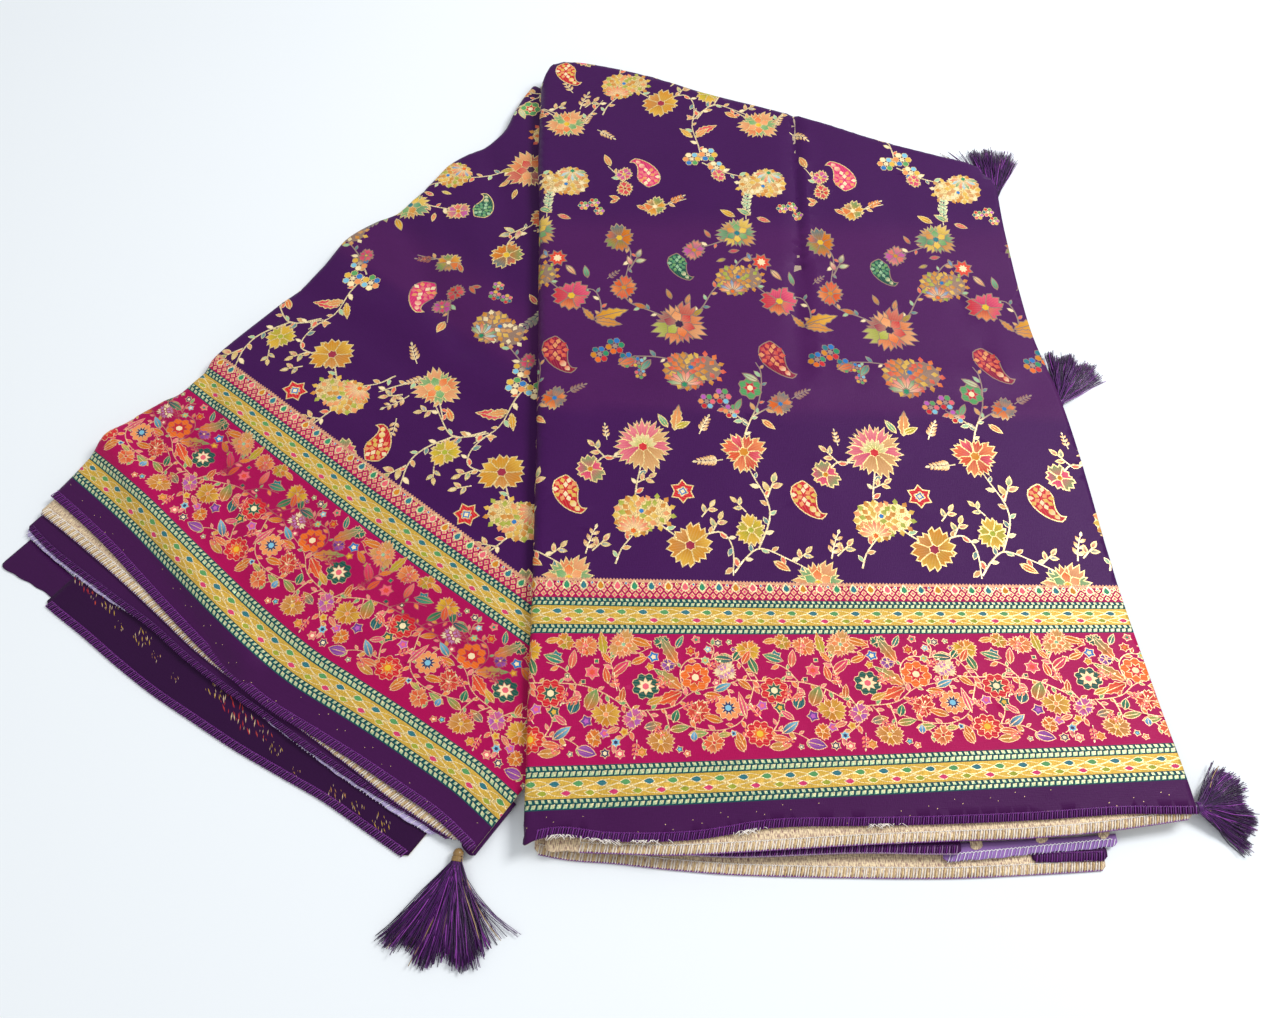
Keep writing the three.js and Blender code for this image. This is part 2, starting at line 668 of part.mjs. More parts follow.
addPiece('inner_layers', makeInnerLayers(), cloth(0x3c1a50));
addPiece('fan_top', makeFanTop(), SILK);
addPiece('panel_top', makePanelTop(), SILK);
FAN_PLIES.forEach((ply) => addPiece(ply.name, makeFanPly(ply), cloth(ply.colour)));
addPiece('fan_ply_4', makeFanLowest(), cloth(0x4a1a5c));
addPiece('fan_corner', makeFanCorner(), cloth(0x4a1a5c));
addPiece('fan_end', makeFanEnd(), cloth(0x4a1a5c));
PANEL_PLIES.forEach((ply) => addPiece(ply.name, makePanelPly(ply), cloth(ply.colour)));
addPiece('blouse_right', makeShortStrip(BLOUSE_RIGHT), cloth(0x9a80bf));
addPiece('panel_end', makeShortStrip(PANEL_END), cloth(0x4a1a5c));
TASSELS.forEach((tassel) => addPiece(tassel.name, makeTassel(tassel), THREAD));

export default sari;
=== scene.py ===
# %% [markdown]
# # A folded silk brocade sari
# A sari is one long cloth, here about 1.1 m wide and six metres long, with a broad floral border along each
# long edge. It is folded in half across its width, then by halves along its length, and the upper half of
# the stack is turned out of the lower half like a fan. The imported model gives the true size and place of
# every ply. This script makes the woven pattern, the sewing, the thread tassels and the finish.

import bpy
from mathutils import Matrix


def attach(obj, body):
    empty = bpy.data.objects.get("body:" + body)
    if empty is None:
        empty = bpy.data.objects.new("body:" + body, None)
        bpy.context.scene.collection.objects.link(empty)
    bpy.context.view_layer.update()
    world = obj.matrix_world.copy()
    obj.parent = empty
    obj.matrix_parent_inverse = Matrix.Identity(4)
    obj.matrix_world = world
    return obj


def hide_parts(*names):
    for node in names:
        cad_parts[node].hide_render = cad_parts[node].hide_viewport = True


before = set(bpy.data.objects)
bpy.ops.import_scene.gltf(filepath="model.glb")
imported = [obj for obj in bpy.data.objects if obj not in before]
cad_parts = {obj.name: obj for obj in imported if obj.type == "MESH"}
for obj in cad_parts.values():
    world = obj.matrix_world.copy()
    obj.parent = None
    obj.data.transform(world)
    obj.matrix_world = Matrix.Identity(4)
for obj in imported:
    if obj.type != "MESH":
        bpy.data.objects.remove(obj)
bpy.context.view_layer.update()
print("CAD nodes:", len(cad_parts))

# %% Libraries and units
import math

import bpy
import numpy as np
from mathutils import Vector
from mathutils.geometry import delaunay_2d_cdt

MM = 0.001
print("cloth is worked out in millimetres and turned to metres at the end")

# %% [markdown]
# ## The two surfaces
# All the cloth that shows lies on two surfaces: the panel (the upper stack) and the fan (the lower stack,
# turned out by 37 degrees). A place on the flat cloth is a pair of lengths: s across the stack and t in from
# the near edge. Short tables give the edges, and a smooth curve goes through each table's rows.

# %% Smooth curves through short tables
def curve(places, values):
    """Cubic pieces through the table's rows, with the mean slope at each row, held level past both ends."""
    x = np.array(places, float)
    y = np.array(values, float)
    slope = np.gradient(y)
    slope[1:-1] = (y[2:] - y[:-2]) / (x[2:] - x[:-2])
    slope[0] = (y[1] - y[0]) / (x[1] - x[0])
    slope[-1] = (y[-1] - y[-2]) / (x[-1] - x[-2])

    def at(place):
        place = np.clip(place, x[0], x[-1])
        i = np.clip(np.searchsorted(x, place, side="right") - 1, 0, len(x) - 2)
        h = x[i + 1] - x[i]
        u = (place - x[i]) / h
        near = (2 * u**3 - 3 * u**2 + 1) * y[i] + (u**3 - 2 * u**2 + u) * h * slope[i]
        return near + (3 * u**2 - 2 * u**3) * y[i + 1] + (u**3 - u**2) * h * slope[i + 1]

    return at


def smooth(value):
    """0 below 0, 1 above 1, and an S-shaped step between."""
    value = np.clip(value, 0, 1)
    return value * value * (3 - 2 * value)


def mix(a, b, share):
    return a + (b - a) * share


print("halfway up the step:", smooth(0.5))

# %% The panel's edges, and how high its top lies
CLOTH_WIDTH = 352.0          # across the folded stack
side_y = [-270, -237, -194, -121, -35, 12, 58, 92, 156, 225, 325]
panel_left = curve(side_y, [-32.5, -32.5, -33.5, -34.5, -36.5, -38, -39.5, -41, -43.5, -47.5, -48.5])
panel_right = curve(side_y, [322.5, 320.5, 315.5, 308.5, 304.5, 300.5, 292.5, 290.5, 288.5, 290.5, 291])
end_share = [0, 0.024, 0.06, 0.133, 0.25, 0.37, 0.5, 0.63, 0.76, 0.89, 0.95, 0.982, 1]
panel_near = curve(
    end_share, [-270, -266, -264.5, -267, -266, -260, -259, -258, -256, -253, -253, -253, -253])
panel_far = curve(end_share, [304, 322, 325, 321, 308, 290, 274, 258, 240, 226, 220, 212, 198])

PANEL_LOW, PANEL_HIGH = 11.5, 21.0
RISE_START, RISE_LENGTH = 105.0, 300.0
FOLD_LOW, FOLD_RISE_LENGTH = 5.9, 30.0
LEAST_FOLD = 4.4             # the left fold is at least this thick
FAR_ROLL, FAR_TUCK = 6.0, 3.0

FAN_TURN = math.radians(-37.4)
FAN_CORNER = (-337.5, -55.0)
FAN_LENGTH, FAN_WIDTH = 463.0, 353.0
FAN_NEAR_TOP, FAN_MID_TOP, FAN_RISE_LENGTH = 6.4, 9.0, 85.0
FAN_ROLL, FAN_TUCK = 5.0, 1.6
FLOOR_CLEAR = 0.35
fan_cos, fan_sin = math.cos(FAN_TURN), math.sin(FAN_TURN)
print(f"the fan is turned by {math.degrees(FAN_TURN):.1f} degrees")

# %% [markdown]
# ## Creases
# Silk that has been pressed in a stack keeps soft troughs and ridges. Each one here is a line with a height
# and a half width. The first ones of each list are in the solids too, and the finer ones are added here,
# uneven in length and depth, as on real cloth.

# %% Troughs and ridges: from x, from y, to x, to y, rise, half width
PANEL_CREASES = [
    (142, 250, 137, 110, -0.9, 10), (137, 115, 133, 26, -2.2, 9), (40, 18, 262, 26, 1.4, 16),
    (40, 92, 280, 98, -1.2, 44), (246, 92, 262, 30, -1.4, 10), (146, 300, 139, 118, -1.5, 3.4),
    (153, 300, 146, 120, 1.1, 4.5), (-10, 20, 290, 23, -0.8, 6), (150, 118, 145, 22, 0.9, 6),
    (-8, 30, 120, 36, -0.7, 9), (-26, 5, 60, 12, 0.35, 8), (150, 5, 292, 12, -0.45, 10),
    (-30, -60, -2, 40, 0.6, 9), (238, 110, 252, 40, 0.7, 6), (60, 250, 120, 246, 0.35, 12),
    (-34, 180, 40, 172, -0.4, 12), (-28, -238, -10, -262, 0.5, 7), (4, -215, 8, -262, -0.5, 7),
    (200, -120, 306, -108, 0.3, 16), (20, -100, 170, -92, -0.3, 18), (60, 150, 75, 240, 0.3, 12),
    (205, 200, 215, 130, -0.35, 14),
]
FAN_EDGE_FOLD = [(-5, 47, 182, -2, 5.0, 16), (200, 6, 330, 24, 1.2, 16)]    # where the fan's near edge lifts
FAN_CREASES = [
    (8, 395, 95, 330, -1.2, 13), (8, 300, 130, 235, -1.5, 16), (6, 205, 190, 200, -1.3, 20),
    (4, 95, 150, 82, -1.2, 18), (10, 118, 150, 22, -1.3, 9), (0, 92, 130, 6, 0.7, 8),
    (150, 120, 290, 30, -0.6, 12), (200, 60, 330, 20, 0.5, 12), (30, 60, 60, 140, 0.6, 12),
    (30, 350, 150, 250, 0.9, 14), (60, 230, 240, 225, 0.8, 16), (10, 255, 120, 232, 0.7, 11),
    (20, 140, 230, 150, 0.6, 15), (90, 60, 300, 75, 0.5, 20), (40, 180, 260, 178, -0.6, 12),
    (10, 430, 60, 390, 0.7, 9), (5, 340, 60, 312, 0.5, 8), (12, 52, 90, 48, -0.5, 10),
]


def crease_height(creases, x, y):
    """Sum over the creases of rise times an S-step that falls with the distance from the crease's line."""
    height = np.zeros_like(np.asarray(x, float))
    for from_x, from_y, to_x, to_y, rise, half_width in creases:
        length = math.hypot(to_x - from_x, to_y - from_y)
        way_x, way_y = (to_x - from_x) / length, (to_y - from_y) / length
        along = (x - from_x) * way_x + (y - from_y) * way_y
        beside = np.abs((x - from_x) * way_y - (y - from_y) * way_x)
        past = np.maximum(np.maximum(-along, along - length), 0)
        height += rise * smooth(1 - np.hypot(beside, past) / half_width)
    return height


def ripple(x, y):
    """A few long sine waves of unequal length, for cloth that never lies quite flat: at most 0.25 mm."""
    return 0.1 * np.sin(x / 17 + y / 61) + 0.08 * np.sin(y / 23 - x / 90) + 0.07 * np.sin(x / 9.1 + y / 31)


print("creases:", len(PANEL_CREASES), "on the panel,", len(FAN_CREASES), "on the fan")

# %% The panel's surface
ROW_START, ROW_TILT, ROW_SHRINK, ROW_TURN = -270.0, 20.0, 0.153, 150.0


def panel_row(across, t):
    """Y of a flat place: the border's rows run level, and the rows further in lean with the far edge."""
    near = ROW_START + ROW_TILT * across + t * (1 - ROW_SHRINK * across)
    far = ROW_START + ROW_TURN - 3 * across + (t - ROW_TURN)
    return np.where(t <= ROW_TURN, near, far)


def panel_row_inverse(across, y):
    """t of a place along Y, the other way round."""
    turn = ROW_START + ROW_TURN - 3 * across
    near = (y - ROW_START - ROW_TILT * across) / (1 - ROW_SHRINK * across)
    return np.where(y <= turn, near, ROW_TURN + y - turn)


def panel_top(x, y):
    """Height of the panel's top: it climbs from the surface onto the fan."""
    onto_fan = FAN_WIDTH - ((x - FAN_CORNER[0]) * fan_cos + (y - FAN_CORNER[1]) * fan_sin)
    climb = smooth((onto_fan + RISE_START) / RISE_LENGTH)
    return mix(PANEL_LOW, PANEL_HIGH, climb) + crease_height(PANEL_CREASES, x, y) + ripple(x, y)


def turned_edge(past, roll, tuck):
    """A cloth that runs over an edge: a quarter turn of radius roll down, a quarter turn of radius tuck back
    under, then straight. Gives how far it lies out past the start, and how far it has dropped."""
    down = np.clip(past / roll, 0, math.pi / 2)
    under = np.clip((past - roll * math.pi / 2) / tuck, 0, math.pi / 2)
    back = np.maximum(past - (roll + tuck) * math.pi / 2, 0)
    out = roll * np.sin(down) - tuck * (1 - np.cos(under)) - back
    return out, roll * (1 - np.cos(down)) + tuck * np.sin(under)


def panel_surface(s, t):
    """Flat place to space. Past the far edge the cloth turns down and under. Left of the fold it goes round
    a half circle, whose height is that of the fold, and back underneath."""
    across = np.clip(s / CLOTH_WIDTH, 0, 1)
    row = panel_row(across, t)
    start = panel_far(across) - FAR_ROLL
    out, drop = turned_edge(np.maximum(row - start, 0), FAR_ROLL, FAR_TUCK)
    y = np.minimum(row, start) + out
    left, right = panel_left(y), panel_right(y)
    under = mix(FOLD_LOW, FAN_MID_TOP + 0.5, smooth((y + 270) / FOLD_RISE_LENGTH))
    crown = panel_top(left + 3, y) - drop
    radius = (crown - np.minimum(under, crown - LEAST_FOLD)) / 2
    level = left + radius + (s - radius) * (right - left - radius) / (CLOTH_WIDTH - radius)
    top = panel_top(np.maximum(level, left + radius), y) - drop
    turn = np.clip((radius - s) / radius, 0, math.pi)
    beyond = np.maximum(radius - s - math.pi * radius, 0)
    x = np.where(s >= radius, level, left + radius * (1 - np.sin(turn)) + beyond)
    z = top - np.where(s >= radius, 0, radius * (1 - np.cos(turn)))
    return np.stack([x, y, z], -1)


print("panel's middle:", panel_surface(np.array([176.0]), np.array([250.0])).round(1))

# %% The fan's surface
near_share = [0, 30, 60, 90, 120, 150, 180, 210, 240, 270, 300, 326, 353]
fan_edge_rows = {
    "top": [-3, -3.5, -5, -8, -11, -13.5, -15, -14.5, -10.5, -6.5, -3.5, -1.5, -3],
    "gold": [-14.8, -13.8, -13.6, -14, -15, -16.2, -15, -12.5, -11, -9.4, -8.4, -5.6, -2],
    "purple": [-25, -27.7, -26.6, -25, -23.2, -23.6, -22.4, -19.8, -17.8, -15, -11, -7, -5],
    "lavender": [-29, -29.5, -28.5, -26, -22, -20.5, -20, -19.6, -18.4, -16.4, -13.4, -9.8, -6],
    "lowest": [-48, -50, -51.5, -50.5, -50.2, -48.8, -45.5, -42, -37, -31.8, -29, -26.6, -24],
}
fan_edges = {name: curve(near_share, row) for name, row in fan_edge_rows.items()}
outer_along = [0, 20, 43, 62, 105, 135, 192, 226, 261, 301, 333, 358, 403, 442, 463]
fan_inward = curve(outer_along, [1.5, 0, -2.8, -2.4, 6.8, 2.3, 4.1, 3.6, -1.8, 8.6, 9.2, 6.8, 16.4, 4.4, 0])
FORESHORTENED = 0.88         # the near border of the fan is pushed together a little
FAR_END_ROLL = 4.0


def fan_place(across, along, z):
    """From the fan's own directions to the sari's."""
    x = FAN_CORNER[0] + across * fan_cos - along * fan_sin
    y = FAN_CORNER[1] + across * fan_sin + along * fan_cos
    return np.stack([x, y, z + 0 * x], -1)


def fan_top(across, along):
    """Height of the fan's top: it falls towards the near edge."""
    rise = smooth((along + 15) / FAN_RISE_LENGTH)
    creases = 1.4 * crease_height(FAN_CREASES, across, along) + ripple(along, across)
    return mix(FAN_NEAR_TOP, FAN_MID_TOP, rise) + creases * rise + crease_height(FAN_EDGE_FOLD, across, along)


def fan_along(s, t):
    """How far along the fan a flat place lies; the near edge's bow fades out over the border."""
    near = FORESHORTENED * t + fan_edges["top"](s) * (1 - t / ROW_TURN)
    return np.where(t <= ROW_TURN, near, FORESHORTENED * ROW_TURN + t - ROW_TURN)


def fan_surface(s, t):
    """Flat place to space. Left of the outer fold the cloth rolls down to the surface and back under."""
    along = fan_along(s, t)
    end_out, end_drop = turned_edge(np.maximum(along - FAN_LENGTH + FAR_END_ROLL, 0), FAR_END_ROLL, FAN_TUCK)
    along = np.minimum(along, FAN_LENGTH - FAR_END_ROLL) + end_out
    start = fan_inward(along)
    top = fan_top(np.maximum(s, start + FAN_ROLL), along) - end_drop
    tuck = np.clip(top - FLOOR_CLEAR - FAN_ROLL, 0.6, FAN_TUCK)
    fall = np.maximum(top - FLOOR_CLEAR - FAN_ROLL - tuck, 0)
    past = np.maximum(start + FAN_ROLL - s, 0)
    down = np.clip(past / FAN_ROLL, 0, math.pi / 2)
    straight = np.clip(past - FAN_ROLL * math.pi / 2, 0, fall)
    under = np.clip((past - FAN_ROLL * math.pi / 2 - fall) / tuck, 0, math.pi / 2)
    back = np.maximum(past - (FAN_ROLL + tuck) * math.pi / 2 - fall, 0)
    across = np.where(past > 0, start + FAN_ROLL * (1 - np.sin(down)) + tuck * (1 - np.cos(under)) + back, s)
    z = top - FAN_ROLL * (1 - np.cos(down)) - straight - tuck * np.sin(under)
    return fan_place(across, along, np.maximum(z, FLOOR_CLEAR))


print("fan's near corner:", fan_surface(np.array([0.0]), np.array([0.0])).round(1))

# %% [markdown]
# ## Drawing the woven pattern
# A brocade's pattern is woven with extra threads: coloured silk inside the motifs and gold thread round
# them. Here each petal, leaf or bead is one flat loop of points with a colour that may run from its foot to
# its tip. Complex numbers make this short, because one product turns and sizes a whole loop. Later the cloth
# is cut along every loop's edge, so each motif is real mesh with a sharp outline.

# %% The dyes, as plain screen colours
def dye(red, green, blue):
    """A screen colour of 0 to 255, as the linear light that shaders work in."""
    value = np.array([red, green, blue]) / 255
    return np.where(value <= 0.04045, value / 12.92, ((value + 0.055) / 1.055) ** 2.4)


GROUND = dye(61, 15, 76)
MAGENTA = dye(170, 4, 78)
MUSTARD = dye(206, 166, 66)
TEAL_DARK = dye(10, 74, 76)
CREAM = dye(238, 216, 166)
LIGHT_GOLD = dye(232, 202, 138)
PEACH_LINE = dye(232, 184, 136)
REVERSE_GOLD = dye(226, 204, 166)
DYES = {
    "orange": dye(232, 104, 22), "ochre": dye(208, 130, 12), "straw": dye(226, 178, 62),
    "lime": dye(164, 172, 40), "leaf": dye(80, 158, 90), "green": dye(20, 140, 96),
    "teal": dye(12, 116, 128), "blue": dye(24, 116, 186), "navy": dye(30, 36, 92),
    "pink": dye(222, 48, 112), "rose": dye(234, 96, 112), "red": dye(204, 26, 40),
    "wine": dye(150, 16, 60), "lilac": dye(186, 86, 178), "violet": dye(104, 48, 140),
    "peach": dye(236, 146, 84), "cream": dye(250, 228, 178), "mint": dye(140, 194, 150),
    "sky": dye(120, 190, 214), "bottle": dye(8, 84, 70), "plum": dye(56, 16, 66),
    "yellow": dye(230, 186, 40), "coral": dye(226, 72, 50), "sand": dye(212, 148, 80),
    "pale": CREAM,
}
print(len(DYES), "dyes")

# %% A drawing, and a pen that draws on it
class Drawing:
    """Loops of complex points in the order in which they were drawn: a later one covers an earlier one."""

    def __init__(self):
        self.shapes = []         # each is its loop, near and far colour, base, axis and gold share

    def add(self, loop, *look):
        """Keeps a loop, turned so that its last side has the loop's inside on its left."""
        area = np.imag(np.conj(loop) * np.roll(loop, -1)).sum()
        loop = loop if area > 0 else loop[::-1]
        sides = np.roll(loop, -1) - loop
        for first in np.argsort(-np.abs(sides))[:8]:
            probe = (loop[first] + sides[first] * np.array([0.05 + 0.01j, 0.95 + 0.01j]))[:, None]
            turns = np.angle((np.roll(loop, -1) - probe) / (loop - probe)).sum(1)
            if turns.min() > 3:
                self.shapes.append((np.roll(loop, -first - 1), *look))
                return

    def stamp(self, other, at, turn=1, mirrored=False):
        """Draws another drawing here, moved by at, turned by turn, and mirrored left to right if asked."""
        for loop, near, far, base, axis, gold in other.shapes:
            if mirrored:
                loop, base, axis = -np.conj(loop)[::-1], -np.conj(base), -np.conj(axis)
            self.shapes.append((at + turn * loop, near, far, at + turn * base, turn * axis, gold))


def inset(loop, depth):
    """The loop moved inwards: each corner goes along the mean of its two sides' inward directions."""
    ahead = np.roll(loop, -1) - loop
    ahead = ahead / np.maximum(np.abs(ahead), 1e-9)
    mean = ahead + np.roll(ahead, 1)
    spread = np.maximum(np.abs(mean), 1e-9)
    return loop + 1j * mean / spread * depth / np.maximum(spread / 2, 0.55)


class Pen:
    """Draws loops of unit size at a place, turned and sized; its line is the gold thread round each shape."""

    def __init__(self, drawing, at, degrees=0.0, size=1.0, mirrored=False, line=0.75, gold=LIGHT_GOLD):
        self.drawing, self.at, self.line, self.gold, self.mirrored = drawing, at, line, gold, mirrored
        self.turn = size * np.exp(1j * math.radians(degrees))

    def place(self, loop):
        return self.at + self.turn * (np.conj(loop) if self.mirrored else loop)

    def nested(self, at, degrees=0.0, size=1.0):
        """Another pen inside this one's place."""
        inner = Pen(self.drawing, self.place(at), 0, 1, self.mirrored, self.line, self.gold)
        inner.turn = self.turn * size * np.exp(1j * math.radians(-degrees if self.mirrored else degrees))
        return inner

    def fill(self, loop, near, far=None, gold=0.0, depth=0.0):
        """One flat colour, or one that runs from the loop's first point to the point furthest from it."""
        placed = self.place(np.asarray(loop, complex))
        area = np.imag(np.conj(placed) * np.roll(placed, -1)).sum()
        base = placed[0]
        axis = placed[np.argmax(np.abs(placed - base))] - base
        if area < 0:
            placed = placed[::-1]
        if depth:
            placed = inset(placed, depth)
        self.drawing.add(placed, near, near if far is None else far, base, axis, gold)

    def outlined(self, loop, near, far=None, depth=None):
        """The gold outline, and inside it the dye."""
        self.fill(loop, self.gold, gold=1.0)
        self.fill(loop, near, far, depth=self.line if depth is None else depth)


print("a pen's gold line is", Pen(None, 0j).line, "mm wide")

# %% [markdown]
# ## Petals, leaves and stems
# Nearly all motifs are put together from four loops: a pointed leaf, an open petal with a toothed edge, a
# disc with scallops, and a ribbon along a path. Only their numbers change from one motif to the next.

# %% The four loops
def leaf_loop(width=0.4, blunt=1.0, points=6):
    """A leaf from 0 to 1: half its width is width / 2 times a sine of the place along it, to the power of
    blunt."""
    along = np.linspace(0, 1, points)
    half = 0.5 * width * np.sin(np.pi * along**blunt) ** 0.85
    return np.concatenate([along - 1j * half, (along + 1j * half)[-2:0:-1]])


def petal_loop(width=0.8, notch=0.1):
    """A ruffled petal from 0 to 1: it widens to two thirds of its length and ends in three soft points."""
    half = np.array([0, 0.3, 0.64, 0.9, 0.86, 1.0]) + 1j * width * np.array([0, 0.27, 0.5, 0.36, 0.2, 0])
    half[4] -= notch
    return np.concatenate([half.conj(), half[-2:0:-1]])


def scallop_loop(petals, depth=0.16, per_petal=3):
    """A disc of radius a half whose edge has round petals: its radius falls by depth between them."""
    angle = np.arange(petals * per_petal) * 2 * np.pi / (petals * per_petal)
    return 0.5 * (1 - depth * (1 - np.abs(np.sin(petals * angle / 2)))) * np.exp(1j * angle)


def path_through(places, per_span=4):
    """Catmull-Rom: a smooth path through a few complex places."""
    p = np.array(places, complex)
    p = np.concatenate([[2 * p[0] - p[1]], p, [2 * p[-1] - p[-2]]])
    u = np.linspace(0, 1, per_span, endpoint=False)[None, :]
    a, b, c, d = (p[i:len(p) - 3 + i][:, None] for i in range(4))
    spans = 0.5 * (2 * b + (c - a) * u + (2 * a - 5 * b + 4 * c - d) * u**2 + (3 * b - a - 3 * c + d) * u**3)
    return np.append(spans.ravel(), p[-2])


def ribbon_loop(path, width):
    """A ribbon along a path, a little narrower at its far end."""
    way = np.gradient(path)
    side = 1j * way / np.maximum(np.abs(way), 1e-9) * width / 2 * np.linspace(1, 0.6, len(path))
    return np.concatenate([path - side, (path + side)[::-1]])


print("points in a leaf:", len(leaf_loop()), "and in a scalloped disc:", len(scallop_loop(8)))

# %% Small motifs: stems, leaves, sprigs and stars
# Each motif takes a pen and the names of its dyes, and some also take a number of petals or leaves.
def stem(drawing, places, width=1.15, gold=CREAM, leaf_size=6.0,
         leaf_dyes=("coral", "cream", "teal", "mint", "sand")):
    """A winding stem of gold thread, with a small leaf on one side and then on the other."""
    path = path_through(places)
    way = np.gradient(path)
    run = np.concatenate([[0], np.cumsum(np.abs(np.diff(path)))])
    for k, at in enumerate(np.arange(0.7 * leaf_size, run[-1] - 0.6 * leaf_size, 1.1 * leaf_size)):
        foot = np.interp(at, run, path.real) + 1j * np.interp(at, run, path.imag)
        heading = math.degrees(np.angle(way[np.searchsorted(run, at) - 1])) + (50, -46)[k % 2]
        size = leaf_size * (1 + 0.2 * math.sin(3.3 * k + places[0].real))
        name = leaf_dyes[(k + len(places)) % len(leaf_dyes)]
        Pen(drawing, foot, heading, size, gold=gold, line=0.4).outlined(
            leaf_loop(0.52, 0.9, 4), DYES[name], mix(DYES[name], CREAM, 0.3))
    Pen(drawing, 0j).fill(ribbon_loop(path, width), gold, gold=1.0)


def leaf(pen, dyes, width=0.42, vein=True):
    """A leaf one unit long, with a gold midrib."""
    pen.outlined(leaf_loop(width, 0.85), 0.75 * DYES[dyes[0]], DYES[dyes[1]])
    if vein:
        rib = ribbon_loop(np.linspace(0.08, 0.8, 3) + 0j, 0.05)
        pen.fill(rib, pen.gold, gold=1.0)


def sprig(pen, dyes, pairs):
    """A thin stalk one unit long with small leaves in pairs, all in pale gold thread."""
    dyes = dyes or ("cream", "sand")
    pen.fill(ribbon_loop(np.linspace(0, 0.95, 4) + 0.03j * np.sin(np.arange(4)), 0.045), CREAM, gold=1.0)
    for k in range(pairs):
        foot = 0.2 + 0.7 * k / pairs
        for side in (-1, 1):
            pen.nested(foot + 0j, side * 42, 0.3 - 0.03 * k).fill(
                leaf_loop(0.5, points=4), DYES[dyes[0]], DYES[dyes[1]], gold=0.8)
    pen.nested(0.86 + 0j, 0, 0.2).fill(leaf_loop(0.5, points=4), CREAM, gold=1.0)


def buds(pen, dyes):
    """A short stalk with three coloured buds."""
    pen.fill(ribbon_loop(np.linspace(0, 0.7, 3) + 0j, 0.07), CREAM, gold=1.0)
    for foot, degrees, colour in zip((0.25, 0.45, 0.62), (50, -48, 6), dyes):
        leaf(pen.nested(foot + 0j, degrees, 0.46), (colour, "pale"), 0.5, vein=False)


def star(pen, dyes, petals):
    """A small flower: a gold scalloped edge, a dyed ring and a heart."""
    edge = scallop_loop(petals, 0.34, 2)
    pen.outlined(edge, DYES[dyes[0]])
    pen.fill(0.42 * edge, DYES[dyes[1]])


print("small motifs: leaf, sprig, buds, star")

# %% Flowers of separate petals
def flower(pen, dyes, petals=6, teeth=2):
    """Ruffled petals of unequal size round a heart: each runs from a deep dye at its foot to a light one."""
    width = 1.65 * math.tan(math.pi / petals)
    for k in range(petals):
        near, far = DYES[dyes[k % (len(dyes) - 1)]], DYES[dyes[(k + 1) % (len(dyes) - 1)]]
        reach = 0.5 * (0.96 + 0.12 * math.sin(k * 2.3 + petals))
        turn = 360 / petals * k + 12 + 5 * math.sin(k * 4.1)
        petal = petal_loop(width * (0.92 + 0.1 * math.cos(k * 3.7)))
        pen.nested(0j, turn, reach).outlined(petal, 0.7 * near, far)
    pen.nested(0j, 0, 0.24).outlined(scallop_loop(6, 0.2, 2), DYES[dyes[-1]], depth=0.5)


def rosette(pen, dyes, petals):
    """A flower seen from above: a scalloped ring, a star in it, and a round heart."""
    ring, points, heart = (DYES[name] for name in dyes)
    pen.outlined(scallop_loop(petals, 0.2), ring)
    pen.nested(0j, 180 / petals, 0.66).outlined(scallop_loop(petals, 0.42, 2), points)
    pen.nested(0j, 0, 0.24).fill(scallop_loop(6, 0.1, 2), heart)


def carnation(pen, dyes):
    """A flower seen from the side: broad lower petals, ragged upper ones, and a striped dome with a heart.
    The dyes are those of the low, side and upper petals, and of the dome and the heart."""
    low, side, upper, dome, heart = (DYES[name] for name in dyes)
    upper_petals = (150, 0.5, upper), (28, 0.56, low), (122, 0.5, upper), (60, 0.55, upper), (90, 0.53, upper)
    for degrees, reach, dyed in upper_petals:
        pen.nested(0.02j, degrees, reach).outlined(petal_loop(0.5, 0.16), 0.8 * dyed, mix(dyed, CREAM, 0.35))
    lower_petals = ((186, 0.54, upper), (-8, 0.54, side), (-38, 0.5, low), (218, 0.56, side), (-72, 0.6, low),
                    (250, 0.52, low))
    for degrees, reach, dyed in lower_petals:
        pen.nested(0j, degrees, reach).outlined(petal_loop(0.56, 0.1), 0.7 * dyed, mix(dyed, CREAM, 0.25))
    for k in range(7):
        pen.nested(-0.02j, 12 + 26 * k, 0.27).outlined(leaf_loop(0.42, 1.2, 4), dome, CREAM, 0.4)
    pen.nested(-0.04j, 0, 0.2).outlined(scallop_loop(6, 0.2, 2), heart, depth=0.5)


def lotus(pen, dyes):
    """A large open flower: eight ragged petals of changing dyes, a row of small inner ones and a heart."""
    *petals, heart = (DYES[name] for name in dyes)
    for k in range(8):
        tone = petals[k % len(petals)]
        reach = 0.5 * (0.98 + 0.14 * math.sin(k * 1.9))
        pen.nested(0j, 45 * k + 8, reach).outlined(petal_loop(0.62, 0.14), 0.65 * tone, mix(tone, CREAM, 0.3))
    for k in range(6):
        tone = petals[(k + 1) % len(petals)]
        pen.nested(0j, 60 * k + 30, 0.3).outlined(leaf_loop(0.7, 1.3, 4), mix(tone, CREAM, 0.35), tone, 0.5)
    pen.nested(0j, 0, 0.18).outlined(scallop_loop(6, 0.2, 2), heart, depth=0.45)


def scales(pen, rows, dyes, start=0.12, size=0.16):
    """Rings of small overlapping scales, from the rim inwards: rows is (radius, count) for each ring."""
    for number, (radius, count) in enumerate(rows):
        for k in range(count):
            angle = 360 / count * (k + 0.5 * (number % 2))
            foot = (radius - start) * np.exp(1j * math.radians(angle))
            tone = DYES[dyes[(k + number) % len(dyes)]]
            pen.nested(foot, angle, size).fill(leaf_loop(0.8, 1.4, 3), mix(tone, CREAM, 0.2), 0.85 * tone)


